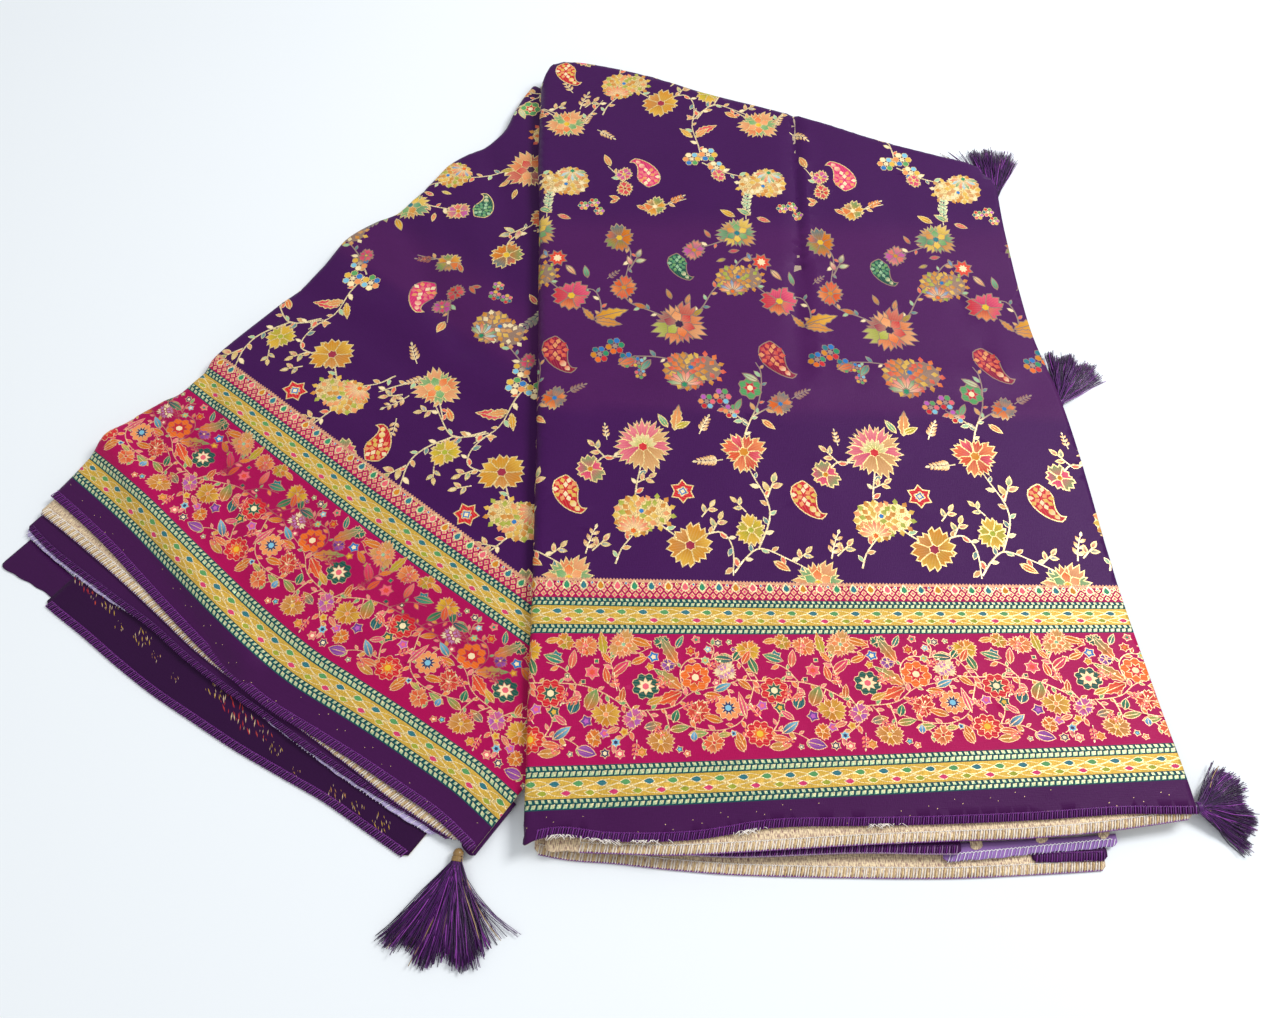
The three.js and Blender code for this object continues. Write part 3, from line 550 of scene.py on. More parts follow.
def pomegranate(pen, dyes):
    """A pomegranate flower: two lobes covered in scales of four dyes, a fan of rays of three dyes at its
    foot, and a small eye."""
    dyes, rays = dyes[:4], dyes[4:]
    pen.nested(0.3 + 0.1j, 0, 0.62).fill(scallop_loop(11, 0.12, 2), LIGHT_GOLD, gold=1.0)
    scales(pen.nested(0.3 + 0.1j, 20, 0.9), ((0.4, 11), (0.25, 7)), dyes)
    pen.nested(-0.1 + 0.02j, 0, 0.86).fill(scallop_loop(15, 0.1, 2), LIGHT_GOLD, gold=1.0)
    scales(pen.nested(-0.1 + 0.02j), ((0.4, 16), (0.29, 12), (0.18, 7)), dyes)
    foot = -0.14 - 0.28j
    for k in range(9):
        ray = DYES[rays[k % len(rays)]]
        pen.nested(foot, 10 + 20 * k, 0.34).outlined(leaf_loop(0.32, 1.5, 4), CREAM, ray, 0.4)
    pen.nested(foot, 0, 0.16).outlined(scallop_loop(6, 0.2, 3), DYES[rays[-1]])
    pen.nested(0.02 + 0.12j, 0, 0.14).outlined(scallop_loop(5, 0.1, 3), DYES["blue"])


PAISLEY_SPINE = np.array(
    [-0.08 + 0.5j, -0.12 + 0.32j, -0.1 + 0.08j, -0.02 - 0.17j, 0.12 - 0.37j, 0.3 - 0.47j, 0.43 - 0.4j])
PAISLEY_HALF = np.array([0.03, 0.27, 0.33, 0.26, 0.16, 0.09, 0.01])


def paisley(pen, dyes):
    """A mango motif: round at the top, with a tail that curls to one side. Its last dye is the ground, and
    scales of the others fill it."""
    *dyes, ground = dyes
    way = np.gradient(PAISLEY_SPINE)
    half = 1j * way / np.abs(way) * PAISLEY_HALF
    edge = path_through(np.concatenate([PAISLEY_SPINE - half, (PAISLEY_SPINE + half)[::-1]]), 2)
    pen.outlined(edge, DYES[ground], 0.8 * DYES[ground])
    scales(pen.nested(-0.1 + 0.1j, 0, 0.72), ((0.38, 10), (0.2, 6)), dyes, 0.14, 0.24)
    for k, place in enumerate((0.02 - 0.2j, 0.14 - 0.35j)):
        pen.nested(place, -50, 0.22 - 0.05 * k).fill(leaf_loop(0.8, 1, 4), DYES[dyes[0]], CREAM)


def cluster(pen, dyes):
    """Three small flowers of six round petals, of many colours."""
    disc = 0.5 * np.exp(1j * np.arange(6) * np.pi / 3)
    for place, size in ((-0.3 + 0.05j, 0.42), (0.1 + 0.2j, 0.44), (0.28 - 0.2j, 0.4)):
        inner = pen.nested(place, 0, size)
        for k in range(6):
            at = 0.34 * np.exp(1j * math.radians(60 * k))
            inner.nested(at, 0, 0.4).outlined(disc, DYES[dyes[k % len(dyes)]], depth=0.4)
        inner.nested(0j, 0, 0.3).fill(disc, DYES["cream"], gold=1.0)


def feather(pen, dyes):
    """A long leaf with a toothed edge."""
    points = 11
    along = np.linspace(0, 1, points)
    half = 0.16 * np.sin(np.pi * along**0.8) * (1 + 0.35 * (np.arange(points) % 2))
    edge = np.concatenate([along - 1j * half, (along + 1j * half)[-2:0:-1]])
    pen.outlined(edge, DYES[dyes[0]], DYES[dyes[1]])
    pen.fill(ribbon_loop(np.linspace(0.05, 0.85, 3) + 0j, 0.035), pen.gold, gold=1.0)


print("large motifs: flower, rosette, carnation, lotus, pomegranate, paisley, cluster, feather")

# %% Reading a chart
MOTIFS = {kind.__name__: kind for kind in (
    leaf, sprig, buds, star, flower, rosette, carnation, lotus, pomegranate, paisley, cluster,
    feather)}


def draw_stems(drawing, chart, *style):
    """Each row of the chart is one stem: its places, as across and along in turn."""
    for row in chart.split("\n")[1:-1]:
        numbers = np.array(row.split(), float)
        stem(drawing, numbers[::2] + 1j * numbers[1::2], *style)


def draw_motifs(drawing, chart, scale=1.0, **thread):
    """Each row is one motif: kind, across, along, turn in degrees, size, its dyes, and any other numbers."""
    for row in chart.split("\n")[1:-1]:
        kind, *words = row.split()
        across, along, degrees, size = (float(word) for word in words[:4])
        names = [word for word in words[4:] if word.isalpha()]
        numbers = [float(word) if "." in word else int(word) for word in words[4 + len(names):]]
        MOTIFS[kind](Pen(drawing, complex(across, along), degrees, scale * size, **thread), names, *numbers)


print(len(MOTIFS), "kinds of motif")

# %% [markdown]
# ## The body's repeat
# The purple field has a winding vine with large flowers. The loom repeats it every 150 mm across and every
# 372 mm along. The chart below places the motifs of one repeat one by one, as a pattern maker does.

# %% One repeat of the body's vine
REPEAT_ACROSS, REPEAT_ALONG = 150.0, 372.0
BODY_STEMS = """
50 160  54 170  62 180
78 186  86 180  92 176
104 180  116 182  122 172  121 154
122 156  130 166  140 172  158 164  172 156
138 172  146 190  146 204  138 222  133 236
62 196  64 212  67 226  68 238
36 224  44 232  54 232  64 236
133 240  138 256  148 276  152 296  150 306
139 258  130 266  122 272
142 264  152 270  160 274
104 300  92 306  80 308  66 308
100 334  116 348  126 364  134 372
100 334  84 344  66 352  62 362
44 336  45 350  40 362  26 362
6 372  14 364  22 358
148 412  128 404  116 400
60 410  68 396  64 376
143 384  150 392  158 396
88 438  100 442  112 446
65 462  60 470  54 478
126 484  124 500  120 520  124 540
126 482  140 474  152 470  160 468
124 528  132 540  140 544
34 524  44 538  50 548
22 522  10 532  2 538
"""

BODY_CHART = """
lotus 22 150 0 32 leaf peach orange yellow
pomegranate 66 191 0 33 straw ochre lime peach orange coral orange
flower 96 173 0 31 ochre straw ochre sand wine
flower 134 184 30 22 lime yellow straw lime 6
paisley 22 206 0 25 straw peach cream red
star 93 209 0 17 red sky 6
star 93 209 30 8 blue cream 4
flower 35 223 20 20 pink rose leaf ochre 5
carnation 69 241 0 36 sand pink pink lime red
flower 134 238 15 31 coral peach red rose orange ochre 8 2
sprig 120 232 186 19 5
cluster 121 273 0 27 rose leaf lilac peach red sky
flower 12 274 0 19 orange peach teal orange blue 6
sprig 20 278 28 15 4
rosette 143 285 0 17 leaf red cream 6
pomegranate 104 296 0 36 ochre orange coral straw rose coral green
paisley 15 309 0 28 coral red peach wine
cluster 52 309 12 30 green blue teal ochre orange red
cluster 66 300 -20 20 peach sky blue rose straw leaf
lotus 100 335 12 40 orange red peach wine lime plum
feather 40 338 18 26 ochre straw
feather 40 336 -8 20 sand ochre
feather 40 336 128 14 ochre sand
pomegranate 145 373 0 31 ochre lime ochre straw red blue orange
flower 24 357 100 28 pink rose red peach yellow 5 3
flower 62 365 10 22 orange peach coral ochre 6
paisley 104 385 0 22 green leaf mint bottle
lotus 148 415 0 31 green yellow leaf ochre teal
flower 60 409 30 26 orange ochre teal orange leaf yellow 6 3
flower 115 399 0 19 rose lilac peach ochre 6
flower 88 439 0 20 orange straw green peach cream 6
cluster 40 438 0 20 lilac leaf red teal rose straw
paisley 82 471 178 27 rose peach cream pink
pomegranate 22 464 180 33 straw sand cream ochre coral sky green
flower 66 470 0 15 pink lilac rose straw 6
flower 66 456 30 15 coral rose red wine 6
leaf 56 478 110 13 sand peach
cluster 128 484 0 32 straw sky cream peach blue leaf
flower 138 470 0 13 rose pink rose straw 5
feather 122 512 28 20 rose red
feather 122 508 44 15 sand peach
feather 120 508 136 14 straw ochre
sprig 46 516 -35 17 4
sprig 34 520 60 15 4
sprig 46 244 96 12 3
sprig 106 250 62 16 4
feather 90 252 78 20 sand peach
leaf 86 254 122 12 leaf mint
leaf 90 254 24 12 yellow lime
buds 44 232 130 15 coral teal red
buds 64 214 26 14 coral orange red
buds 104 192 50 14 teal coral cream
buds 110 182 60 15 green red straw
buds 146 206 66 18 straw coral leaf
buds 132 196 130 13 teal mint straw
leaf 146 164 -32 12 peach orange
buds 160 164 40 14 coral blue sand
sprig 32 166 70 20 3
buds 36 168 44 15 red teal coral
leaf 150 290 150 13 cream mint
leaf 148 262 -40 11 orange peach
leaf 131 268 60 11 mint leaf
leaf 78 306 -130 13 teal mint
leaf 68 306 200 14 coral peach
leaf 110 342 40 11 ochre lime
leaf 78 348 160 11 ochre orange
leaf 96 356 110 10 ochre sand
leaf 106 352 70 10 sand peach
buds 66 380 60 20 pink mint teal
leaf 36 372 100 12 green mint
sprig 50 372 40 12 3
star 14 390 0 16 coral cream 8
leaf 20 384 -50 12 cream peach
leaf 140 398 10 9 pink coral
leaf 128 410 120 9 coral peach
leaf 154 398 -70 8 blue sky
leaf 138 392 200 8 lime straw
sprig 156 428 84 18 mint cream 4
leaf 148 430 150 13 ochre yellow
leaf 164 430 -20 11 rose coral
sprig 98 442 30 15 sand peach 4
leaf 62 446 160 9 coral orange
leaf 74 440 -30 10 orange coral
leaf 54 442 30 8 red coral
sprig 6 436 80 20 mint cream 4
leaf 10 432 150 12 green mint
sprig 26 556 120 16 3
"""
body = Drawing()
draw_stems(body, BODY_STEMS)
draw_motifs(body, BODY_CHART)
print("body repeat:", len(body.shapes), "loops")

# %% [markdown]
# ## The border
# The border is a row of bands. The widest is magenta, 75 mm high and full of small flowers on pale winding
# stems, and repeats every 125.5 mm. A gold band between two braided ones runs along each side of it, and a
# picot edge with coloured drops ends the border towards the body.

# %% The border's lines, as heights above the near edge
PLAIN_TOP, LOW_BRAID_TOP, LOW_GOLD_TOP, MAGENTA_LOW = 17.7, 23.5, 34.5, 41.0
MAGENTA_TOP, HIGH_BRAID_TOP, HIGH_GOLD_TOP, PICOT_LOW, PICOT_TOP = 116.0, 121.7, 133.0, 138.2, 151.0
BORDER_REPEAT = 125.5
SPAN_LOW, SPAN_HIGH = -60.0, 420.0     # the bands are drawn past both sides of the cloth


# Where the cloth goes round a fold the bands need many points to follow it, and few elsewhere.
BAND_X = np.concatenate([[SPAN_LOW], np.arange(-33, 9, 1.5), np.arange(9, 366, 6), np.arange(366, 395, 1.5),
                         [SPAN_HIGH]])


def band(drawing, low, high, colour, gold=0.0):
    """A straight band across the cloth."""
    loop = np.concatenate([BAND_X + low * 1j, (BAND_X + high * 1j)[::-1]])
    Pen(drawing, 0j).fill(loop, colour, gold=gold)


def braid(drawing, low, high, step=3.35):
    """A dark teal band with slanted pale beads in two rows, like a plait."""
    band(drawing, low, high, TEAL_DARK)
    height = high - low
    bead = leaf_loop(0.7, 1.0, 3)
    for k in range(int((SPAN_HIGH - SPAN_LOW) / step)):
        x = SPAN_LOW + k * step
        lower, upper = complex(x, low + 0.1 * height), complex(x + 0.55 * step, low + 0.93 * height)
        Pen(drawing, lower, 42, 0.62 * height).fill(bead, DYES["mint"], CREAM, gold=0.8)
        Pen(drawing, upper, -40, 0.5 * height).fill(bead, CREAM, DYES["mint"], gold=0.8)


def drop_band(drawing, low, high, step=25.1):
    """A mustard band with two rows of drops in pale ogee lines: teal and leaf green above,
    pink and lime below."""
    band(drawing, low, high, MUSTARD, gold=0.45)
    height = high - low
    x = np.union1d(np.arange(SPAN_LOW, SPAN_HIGH, step / 6), BAND_X[(BAND_X < 9) | (BAND_X > 365)])
    for phase, middle in ((0, 0.72), (1, 0.72), (0.5, 0.49), (1.5, 0.49), (0, 0.26), (1, 0.26)):
        wave = middle + 0.16 * np.sin(2 * np.pi * x / step + np.pi * phase)
        Pen(drawing, 0j).fill(ribbon_loop(x + 1j * (low + height * wave), 0.42), CREAM, gold=1.0)
    for k in range(int((SPAN_HIGH - SPAN_LOW) / step * 2)):
        upper = (0, 0.72, ("teal", "leaf")[k % 2], 7.0)
        lower = (step / 4, 0.27, ("pink", "lime")[k % 2], 6.4)
        for aside, share, name, size in (upper, lower):
            at = complex(SPAN_LOW + k * step / 2 + aside - size / 2, low + share * height)
            pen = Pen(drawing, at, -3, size, line=0.42, gold=CREAM)
            pen.outlined(leaf_loop(0.56, 1.25, 6), 0.85 * DYES[name])


def picot(drawing, low, high):
    """The edge towards the body: rows of pink scales on magenta with ragged tips, and coloured drops."""
    step, scale_step, tip = 10.1, 4.2, 2.0
    x = np.arange(SPAN_LOW, SPAN_HIGH, tip / 2)
    ragged = high - 1.2 + 1.2 * (np.arange(len(x)) % 2)
    loop = np.concatenate([[SPAN_LOW + low * 1j, SPAN_HIGH + low * 1j], (x + 1j * ragged)[::-1]])
    Pen(drawing, 0j).fill(loop, mix(PEACH_LINE, MAGENTA, 0.3), gold=0.5)
    band(drawing, low, high - 2.6, MAGENTA)
    for row in range(3):
        y = low + 0.3 + row * 3.1
        for k in range(int((SPAN_HIGH - SPAN_LOW) / scale_step)):
            at = complex(SPAN_LOW + (k + 0.5 * (row % 2)) * scale_step, y)
            Pen(drawing, at, 90, 3.9, line=0.6, gold=PEACH_LINE).outlined(
                leaf_loop(0.9, 1.2, 3), DYES["rose"] if (k + row) % 3 else DYES["pink"])
    for k in range(int((SPAN_HIGH - SPAN_LOW) / step)):
        drop = DYES[("green", "teal", "ochre", "rose")[k % 4]]
        bead = DYES["blue" if k % 2 else "ochre"]
        at = complex(SPAN_LOW + k * step, low)
        Pen(drawing, at + 4.6j, 90, 7.2, line=0.9, gold=CREAM).outlined(leaf_loop(0.72, 0.75, 7), drop)
        Pen(drawing, at + step / 2 + 8.2j, 90, 2.6, line=0.4, gold=CREAM).outlined(leaf_loop(0.8, 1, 4), bead)


border = Drawing()
band(border, -20, PLAIN_TOP, dye(64, 17, 70))
for k in range(60):
    speck = complex(SPAN_LOW + (k * 61.8) % 480, 2 + (k * 7.3) % 14)
    Pen(border, speck, 20 * k, 0.7).fill(leaf_loop(0.6, 1, 3), LIGHT_GOLD, gold=1.0)
band(border, MAGENTA_LOW, MAGENTA_TOP, MAGENTA)
for low, high in ((PLAIN_TOP, LOW_BRAID_TOP), (LOW_GOLD_TOP, MAGENTA_LOW), (MAGENTA_TOP, HIGH_BRAID_TOP),
                  (HIGH_GOLD_TOP, PICOT_LOW)):
    braid(border, low, high)
drop_band(border, LOW_BRAID_TOP, LOW_GOLD_TOP)
drop_band(border, HIGH_BRAID_TOP, HIGH_GOLD_TOP)
picot(border, PICOT_LOW, PICOT_TOP)
print("border bands:", len(border.shapes), "loops")

# %% One repeat of the magenta band, with heights above its lower edge
MEADOW_STEMS = """
-8 47  4 46  27 45  42 40  57 30.5  66 29.5  81 31.5  92 39.5  111 44  120 47
57 30.5  51 42  47 56  41 74
46.5 57  52 64  61 63  68 66
87 40  86 53  93 60  104 59  112 63  121 56  126 46
57 30.5  60 22  52 14  44 9
76 30  78 18  74 12
128 46  124 34  118 22  106 17  92 19  80 24
92 19  96 12  101 9
-2 15  10 16  22 14  31 8
10 16  14 24  13 34
27 45  20 54  10 58
27 45  25 36  24 30
42 40  38 34  34 30
4 46  0 56  -2 66
66 30  70 22  66 12
104 59  106 66  102 70
111 44  113 36  112 30
"""

MEADOW_CHART = """
rosette 66 43.5 0 15.5 bottle cream rose 8
rosette 94.3 48.5 10 17 orange red cream 8
rosette 12.8 40 0 16 red bottle cream 8
rosette 2 14.4 0 15.5 red orange yellow 9
flower 0 65 0 14 ochre yellow orange straw 7
flower 32.6 67.5 0 13.5 orange peach coral rose 7
lotus 54 68.5 20 18 orange ochre orange mint
flower 43.5 27.5 0 16 ochre straw ochre peach 7
flower 58.5 25 0 12.5 lilac rose lilac straw 6
flower 95 28 0 14 red coral red cream 6
rosette 111.5 30 0 14.5 peach navy sky 10
lotus 111.5 52 0 13 lilac cream lilac cream
flower 73 11.5 0 15 ochre sand ochre straw 7
flower 102 10 0 12.5 orange coral peach red 6
flower 36.5 14.5 0 9.5 orange ochre orange straw 5
flower 20.5 70 30 10.5 ochre lime orange straw 5
flower 79.5 56.5 0 9.5 violet lilac violet cream 6
star 15.3 61 0 8.5 teal cream 6
star 71 61 0 7.5 blue cream 5
star 67.5 68.5 0 7 red peach 5
flower 76 70 90 9 bottle green bottle rose 5
star 96 71.5 0 5.5 rose green 5
star 108.6 69.5 0 5.5 navy cream 6
star 102.5 65.5 0 5 sky cream 5
star 100.5 58.7 0 5.5 mint straw 6
star 92.5 64.5 0 6.5 red ochre 6
star 115 70 0 4 green cream 5
star 117 65.5 0 3.5 navy lilac 5
star 14.8 29.5 0 7.5 bottle straw 5
star 32.6 24 0 7.5 violet lilac 5
star 42.5 17 0 6.5 lilac rose 5
star 48.5 11.8 0 6 sky navy 6
star 53.3 17.5 0 5.5 straw ochre 5
star 42.5 6 0 6 navy cream 6
star 50.5 5.5 0 6.2 rose cream 6
star 62.5 6 0 6.2 ochre peach 6
star 23.7 6 0 3.8 teal cream 5
star 83 7 0 4.5 teal sky 5
star 22 50 0 4 bottle cream 4
star 106 45 0 5 pink cream 5
star 87 4.5 0 4.5 coral cream 5
star 5 31 0 7 lilac rose 5
star 121.5 30 0 5.5 rose lilac 6
star 36 52 0 9 rose coral 6
star 31 46.5 0 3.6 bottle bottle 4
star 38.5 58.5 0 3.6 bottle green 4
star 68.8 55 0 5.5 ochre straw 5
star 113 15 0 4.5 sky navy 5
star 56 57 0 5 lime straw 5
feather 84.5 56.5 118 18 orange green
feather 86.5 41.5 141 19 orange leaf
feather 86.5 40 203 17 red orange
feather 43 62 98 14 lime ochre
feather 47 57 130 9 orange ochre
leaf 58 57 22 10 ochre orange
leaf 45 45 100 10 orange coral
leaf 47 50 40 13 coral pink
leaf 52 34 80 9 ochre red
leaf 24 28 70 10 teal bottle 0.7
leaf 33 30 66 13 orange leaf 0.6
leaf 66 33 22 10 ochre straw
leaf 64 19.5 12 10 teal ochre 0.5
leaf 80.5 22 70 8 bottle green 0.6
leaf 78 18 8 11 ochre leaf
leaf 105 60 -6 12 leaf navy
leaf 14 14 35 12 navy sky
leaf 8 12 -8 10 peach coral
leaf 6 6.5 2 12 ochre sand
leaf 27 9 -18 11 lilac violet 0.6
leaf 88 15 4 11 straw leaf
leaf 104 14 6 8 leaf straw
leaf 115 16 -70 11 orange ochre
leaf 121 23 100 16 pink rose 0.25
leaf 104 40 24 11 teal sky
leaf 118 47 -40 10 orange ochre
leaf 116 58 50 11 bottle green
leaf 98 38 -8 11 ochre orange
leaf 20 58 160 12 teal leaf
leaf 24 54 80 11 orange rose
leaf 4 50 110 12 leaf bottle
leaf -4 56 60 10 orange coral
leaf 91 11 84 6 blue sky 0.7
leaf 22 22 140 9 rose pink
leaf 108 22 160 11 ochre orange
leaf 58 72 -20 12 orange ochre
leaf 9 70 10 9 orange straw
leaf 84 66 60 9 teal green
leaf 118 4 120 9 coral ochre
leaf 30 38 200 8 rose coral
leaf 51 20 200 8 rose peach
sprig 22 43 250 10 rose peach 3
sprig 30 36 190 10 rose peach 3
sprig 60 13 260 10 rose peach 3
sprig 84 30 20 10 rose peach 3
sprig 70 22 300 10 rose peach 3
sprig 91 22 60 10 rose peach 3
sprig 108 37 200 10 rose peach 3
sprig 50 41 100 10 rose peach 3
sprig 30 61 80 10 rose peach 3
sprig 4 23 120 10 rose peach 3
sprig 100 53 30 10 rose peach 3
sprig 118 11 60 10 rose peach 3
sprig 72 43 20 10 rose peach 3
sprig 76 52 250 10 rose peach 3
sprig 12 6 30 10 rose peach 3
"""
meadow = Drawing()
draw_stems(meadow, MEADOW_STEMS, 0.7, PEACH_LINE, 5.0, ("orange", "coral", "ochre", "rose", "leaf"))
draw_motifs(meadow, MEADOW_CHART, 1.06, line=0.4, gold=PEACH_LINE)
print("meadow repeat:", len(meadow.shapes), "loops")

# %% [markdown]
# ## Two lengths of patterned cloth
# The panel and the fan show the two selvedges of one cloth. The vine is woven once, so on the fan it runs the
# other way up, and the border there is the mirror image of the panel's.

# %% Lay the repeats out on the panel and on the fan
FAN_BODY_CENTRE = complex(161.3, 741.5)     # the fan's vine is turned half round about half of this
FAN_BORDER_SHIFT = 125.0

panel_art = Drawing()
for i in range(-1, 3):
    for j in range(0, 2):
        panel_art.stamp(body, complex(i * REPEAT_ACROSS, j * REPEAT_ALONG))
panel_art.stamp(border, 0j)
for i in range(-1, 4):
    panel_art.stamp(meadow, complex(i * BORDER_REPEAT, MAGENTA_LOW))

fan_art = Drawing()
for i in range(-2, 2):
    for j in range(0, 2):
        fan_art.stamp(body, FAN_BODY_CENTRE - complex(i * REPEAT_ACROSS, j * REPEAT_ALONG), turn=-1)
fan_art.stamp(border, complex(FAN_BORDER_SHIFT + 10 * 25.1), mirrored=True)
for i in range(-3, 3):
    fan_art.stamp(meadow, complex(FAN_BORDER_SHIFT - i * BORDER_REPEAT, MAGENTA_LOW), mirrored=True)
print("loops on the panel:", len(panel_art.shapes), "and on the fan:", len(fan_art.shapes))

# %% [markdown]
# ## From drawing to mesh
# A constrained Delaunay triangulation lays triangles over the cloth so that every loop's edge is also a row
# of triangle edges. Each triangle remembers the last loop that covers it, which gives it its dye. The flat
# triangles are then lifted onto the panel's or the fan's surface, and a plain underside closes the cloth.

# %% Triangles that follow every outline
def used_points(points, rows):
    """Only the points that the rows use, the rows with the new point numbers, and the old numbers."""
    used, renumbered = np.unique(rows, return_inverse=True)
    return points[used], renumbered.reshape(rows.shape), used


def triangulate(loops, extra):
    """Flat points, triangles, and for each triangle the number of the last loop over it. The first loop is
    the cloth's own outline, and what lies outside of it is left out. Also says which points are extra."""
    flat = np.concatenate([*loops, extra])
    ends = np.cumsum([len(loop) for loop in loops]).tolist()
    polygons = [list(range(start, end)) for start, end in zip([0, *ends[:-1]], ends)]
    vertices = [Vector((place.real, place.imag)) for place in flat.tolist()]
    points, _, triangles, origins, _, covers = delaunay_2d_cdt(vertices, [], polygons, 0, 1e-5, True)
    flat = np.array([point[:] for point in points]) @ np.array([1, 1j])
    is_extra = np.array([max(origin, default=-1) >= ends[-1] for origin in origins])
    last = np.array([max(cover) if 0 in cover else -1 for cover in covers])
    flat, triangles, used = used_points(flat, np.array(triangles)[last >= 0])
    return flat, triangles, last[last >= 0], is_extra[used]


def neighbours(triangles):
    """Every side of every triangle as from, to, its own triangle and the triangle across it (-1 for none)."""
    sides = np.concatenate([triangles[:, [0, 1]], triangles[:, [1, 2]], triangles[:, [2, 0]]])
    own = np.tile(np.arange(len(triangles)), 3)
    count = triangles.max() + 1
    keys, back = sides[:, 0] * count + sides[:, 1], sides[:, 1] * count + sides[:, 0]
    order = np.argsort(keys)
    found = np.minimum(np.searchsorted(keys[order], back), len(keys) - 1)
    across = np.where(keys[order][found] == back, own[order][found], -1)
    return sides, own, across


def without_hidden(flat, triangles, cover, is_extra):
    """The same picture with fewer triangles: only the sides where the dye changes are kept, and the cloth is
    triangulated once more. Each new triangle takes its number from such a side, or from its neighbours."""
    sides, own, across = neighbours(triangles)
    beyond = np.where(across < 0, -1, cover[across])
    shown = (beyond != cover[own]) & ((across < 0) | (sides[:, 0] < sides[:, 1]))
    kept, ahead, behind_number = sides[shown], cover[own[shown]], beyond[shown]
    used = np.unique(np.concatenate([kept.ravel(), np.flatnonzero(is_extra)]))
    edges = np.searchsorted(used, kept)
    vertices = [Vector((place.real, place.imag)) for place in flat[used].tolist()]
    points, new_edges, new_triangles, _, origins, _ = delaunay_2d_cdt(
        vertices, edges.tolist(), [], 0, 1e-7, True)
    places = np.array([point[:] for point in points]) @ np.array([1, 1j])
    new_edges, new_triangles = np.array(new_edges), np.array(new_triangles)
    source = np.array([min(origin, default=-1) for origin in origins])
    new_edges, source = new_edges[source >= 0], source[source >= 0]
    way = flat[used][edges[source, 1]] - flat[used][edges[source, 0]]
    same = np.real((places[new_edges[:, 1]] - places[new_edges[:, 0]]) * np.conj(way)) > 0
    number = np.concatenate([np.where(same, ahead[source], behind_number[source]),
                             np.where(same, behind_number[source], ahead[source])])
    a, b = new_edges.T
    keys = np.concatenate([a * len(places) + b, b * len(places) + a])
    order = np.argsort(keys)
    sides, own, across = neighbours(new_triangles)
    wanted = sides[:, 0] * len(places) + sides[:, 1]
    found = order[np.minimum(np.searchsorted(keys[order], wanted), len(keys) - 1)]
    known = keys[found] == wanted
    new_cover = np.full(len(new_triangles), -2)
    np.maximum.at(new_cover, own[known], number[found[known]])
    passage = ~known & (across >= 0)
    for _ in range(400):
        source = passage & (new_cover[across] > -2) & (new_cover[own] == -2)
        if not source.any():
            break
        new_cover[own[source]] = new_cover[across[source]]
    places, new_triangles, _ = used_points(places, new_triangles[new_cover >= 0])
    return places, new_triangles, new_cover[new_cover >= 0]


def rim_of(triangles):
    """The ring of points round the triangles: their sides that belong to one triangle only, in order."""
    sides, _, across = neighbours(triangles)
    lone = sides[across < 0]
    after = dict(lone.tolist())
    ring = [int(lone[0, 0])]
    while after[ring[-1]] != ring[0]:
        ring.append(after[ring[-1]])
    return np.array(ring)


def quads(a, b, c, d):
    """Two triangles for each four-sided face, whose corners are given as four arrays of point numbers."""
    return np.concatenate([np.stack([a, b, c], -1).reshape(-1, 3), np.stack([a, c, d], -1).reshape(-1, 3)])


def surface_normals(surface, flat):
    """Unit normals from the differences of the surface over half a millimetre each way."""
    step = 0.25
    s, t = flat.real, flat.imag
    along_s = surface(s + step, t) - surface(s - step, t)
    along_t = surface(s, t + step) - surface(s, t - step)
    normal = np.cross(along_s, along_t)
    return normal / np.maximum(np.linalg.norm(normal, axis=1, keepdims=True), 1e-9)


def add_mesh(name, points, triangles, slot, nodes=(), uv=None, bake=None, dyes=None, flat_faces=None):
    """Points in millimetres and rows of three point numbers become a smooth object of metres. uv and bake
    are corner coordinates, dyes is a colour and a gold share for each corner."""
    mesh = bpy.data.meshes.new(name)
    triangles = np.ascontiguousarray(triangles, dtype=np.int32)
    mesh.vertices.add(len(points))
    mesh.vertices.foreach_set("co", (np.asarray(points) * MM).astype(np.float32).ravel())
    mesh.loops.add(triangles.size)
    mesh.loops.foreach_set("vertex_index", triangles.ravel())
    mesh.polygons.add(len(triangles))
    mesh.polygons.foreach_set("loop_start", np.arange(0, triangles.size, 3, dtype=np.int32))
    smooth_faces = np.ones(len(triangles), bool)
    if flat_faces is not None:
        smooth_faces[flat_faces] = False
    mesh.update(calc_edges=True)
    mesh.polygons.foreach_set("use_smooth", smooth_faces)
    for title, data in (("Cloth", uv), ("OFBake", bake)):
        if data is not None:
            layer = mesh.attributes.new(title, "FLOAT2", "CORNER")
            layer.data.foreach_set("vector", np.ascontiguousarray(data, dtype=np.float32).ravel())
    if dyes is not None:
        layer = mesh.attributes.new("Dye", "FLOAT_COLOR", "CORNER")
        layer.data.foreach_set("color", np.ascontiguousarray(dyes, dtype=np.float32).ravel())
    obj = bpy.data.objects.new(name, mesh)
    bpy.context.scene.collection.objects.link(obj)
    obj.data.materials.append(materials[slot])
    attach(obj, "root")
    if nodes:
        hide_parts(*nodes)
    return obj


print("ring of two triangles:", rim_of(np.array([[0, 1, 2], [0, 2, 3]])))

# %% [markdown]
# ## Finishes
# A shader is arithmetic on values that vary over a surface. The class below lets them be written with the
# ordinary signs for plus, minus, times and power, so that each material reads as a few formulas.

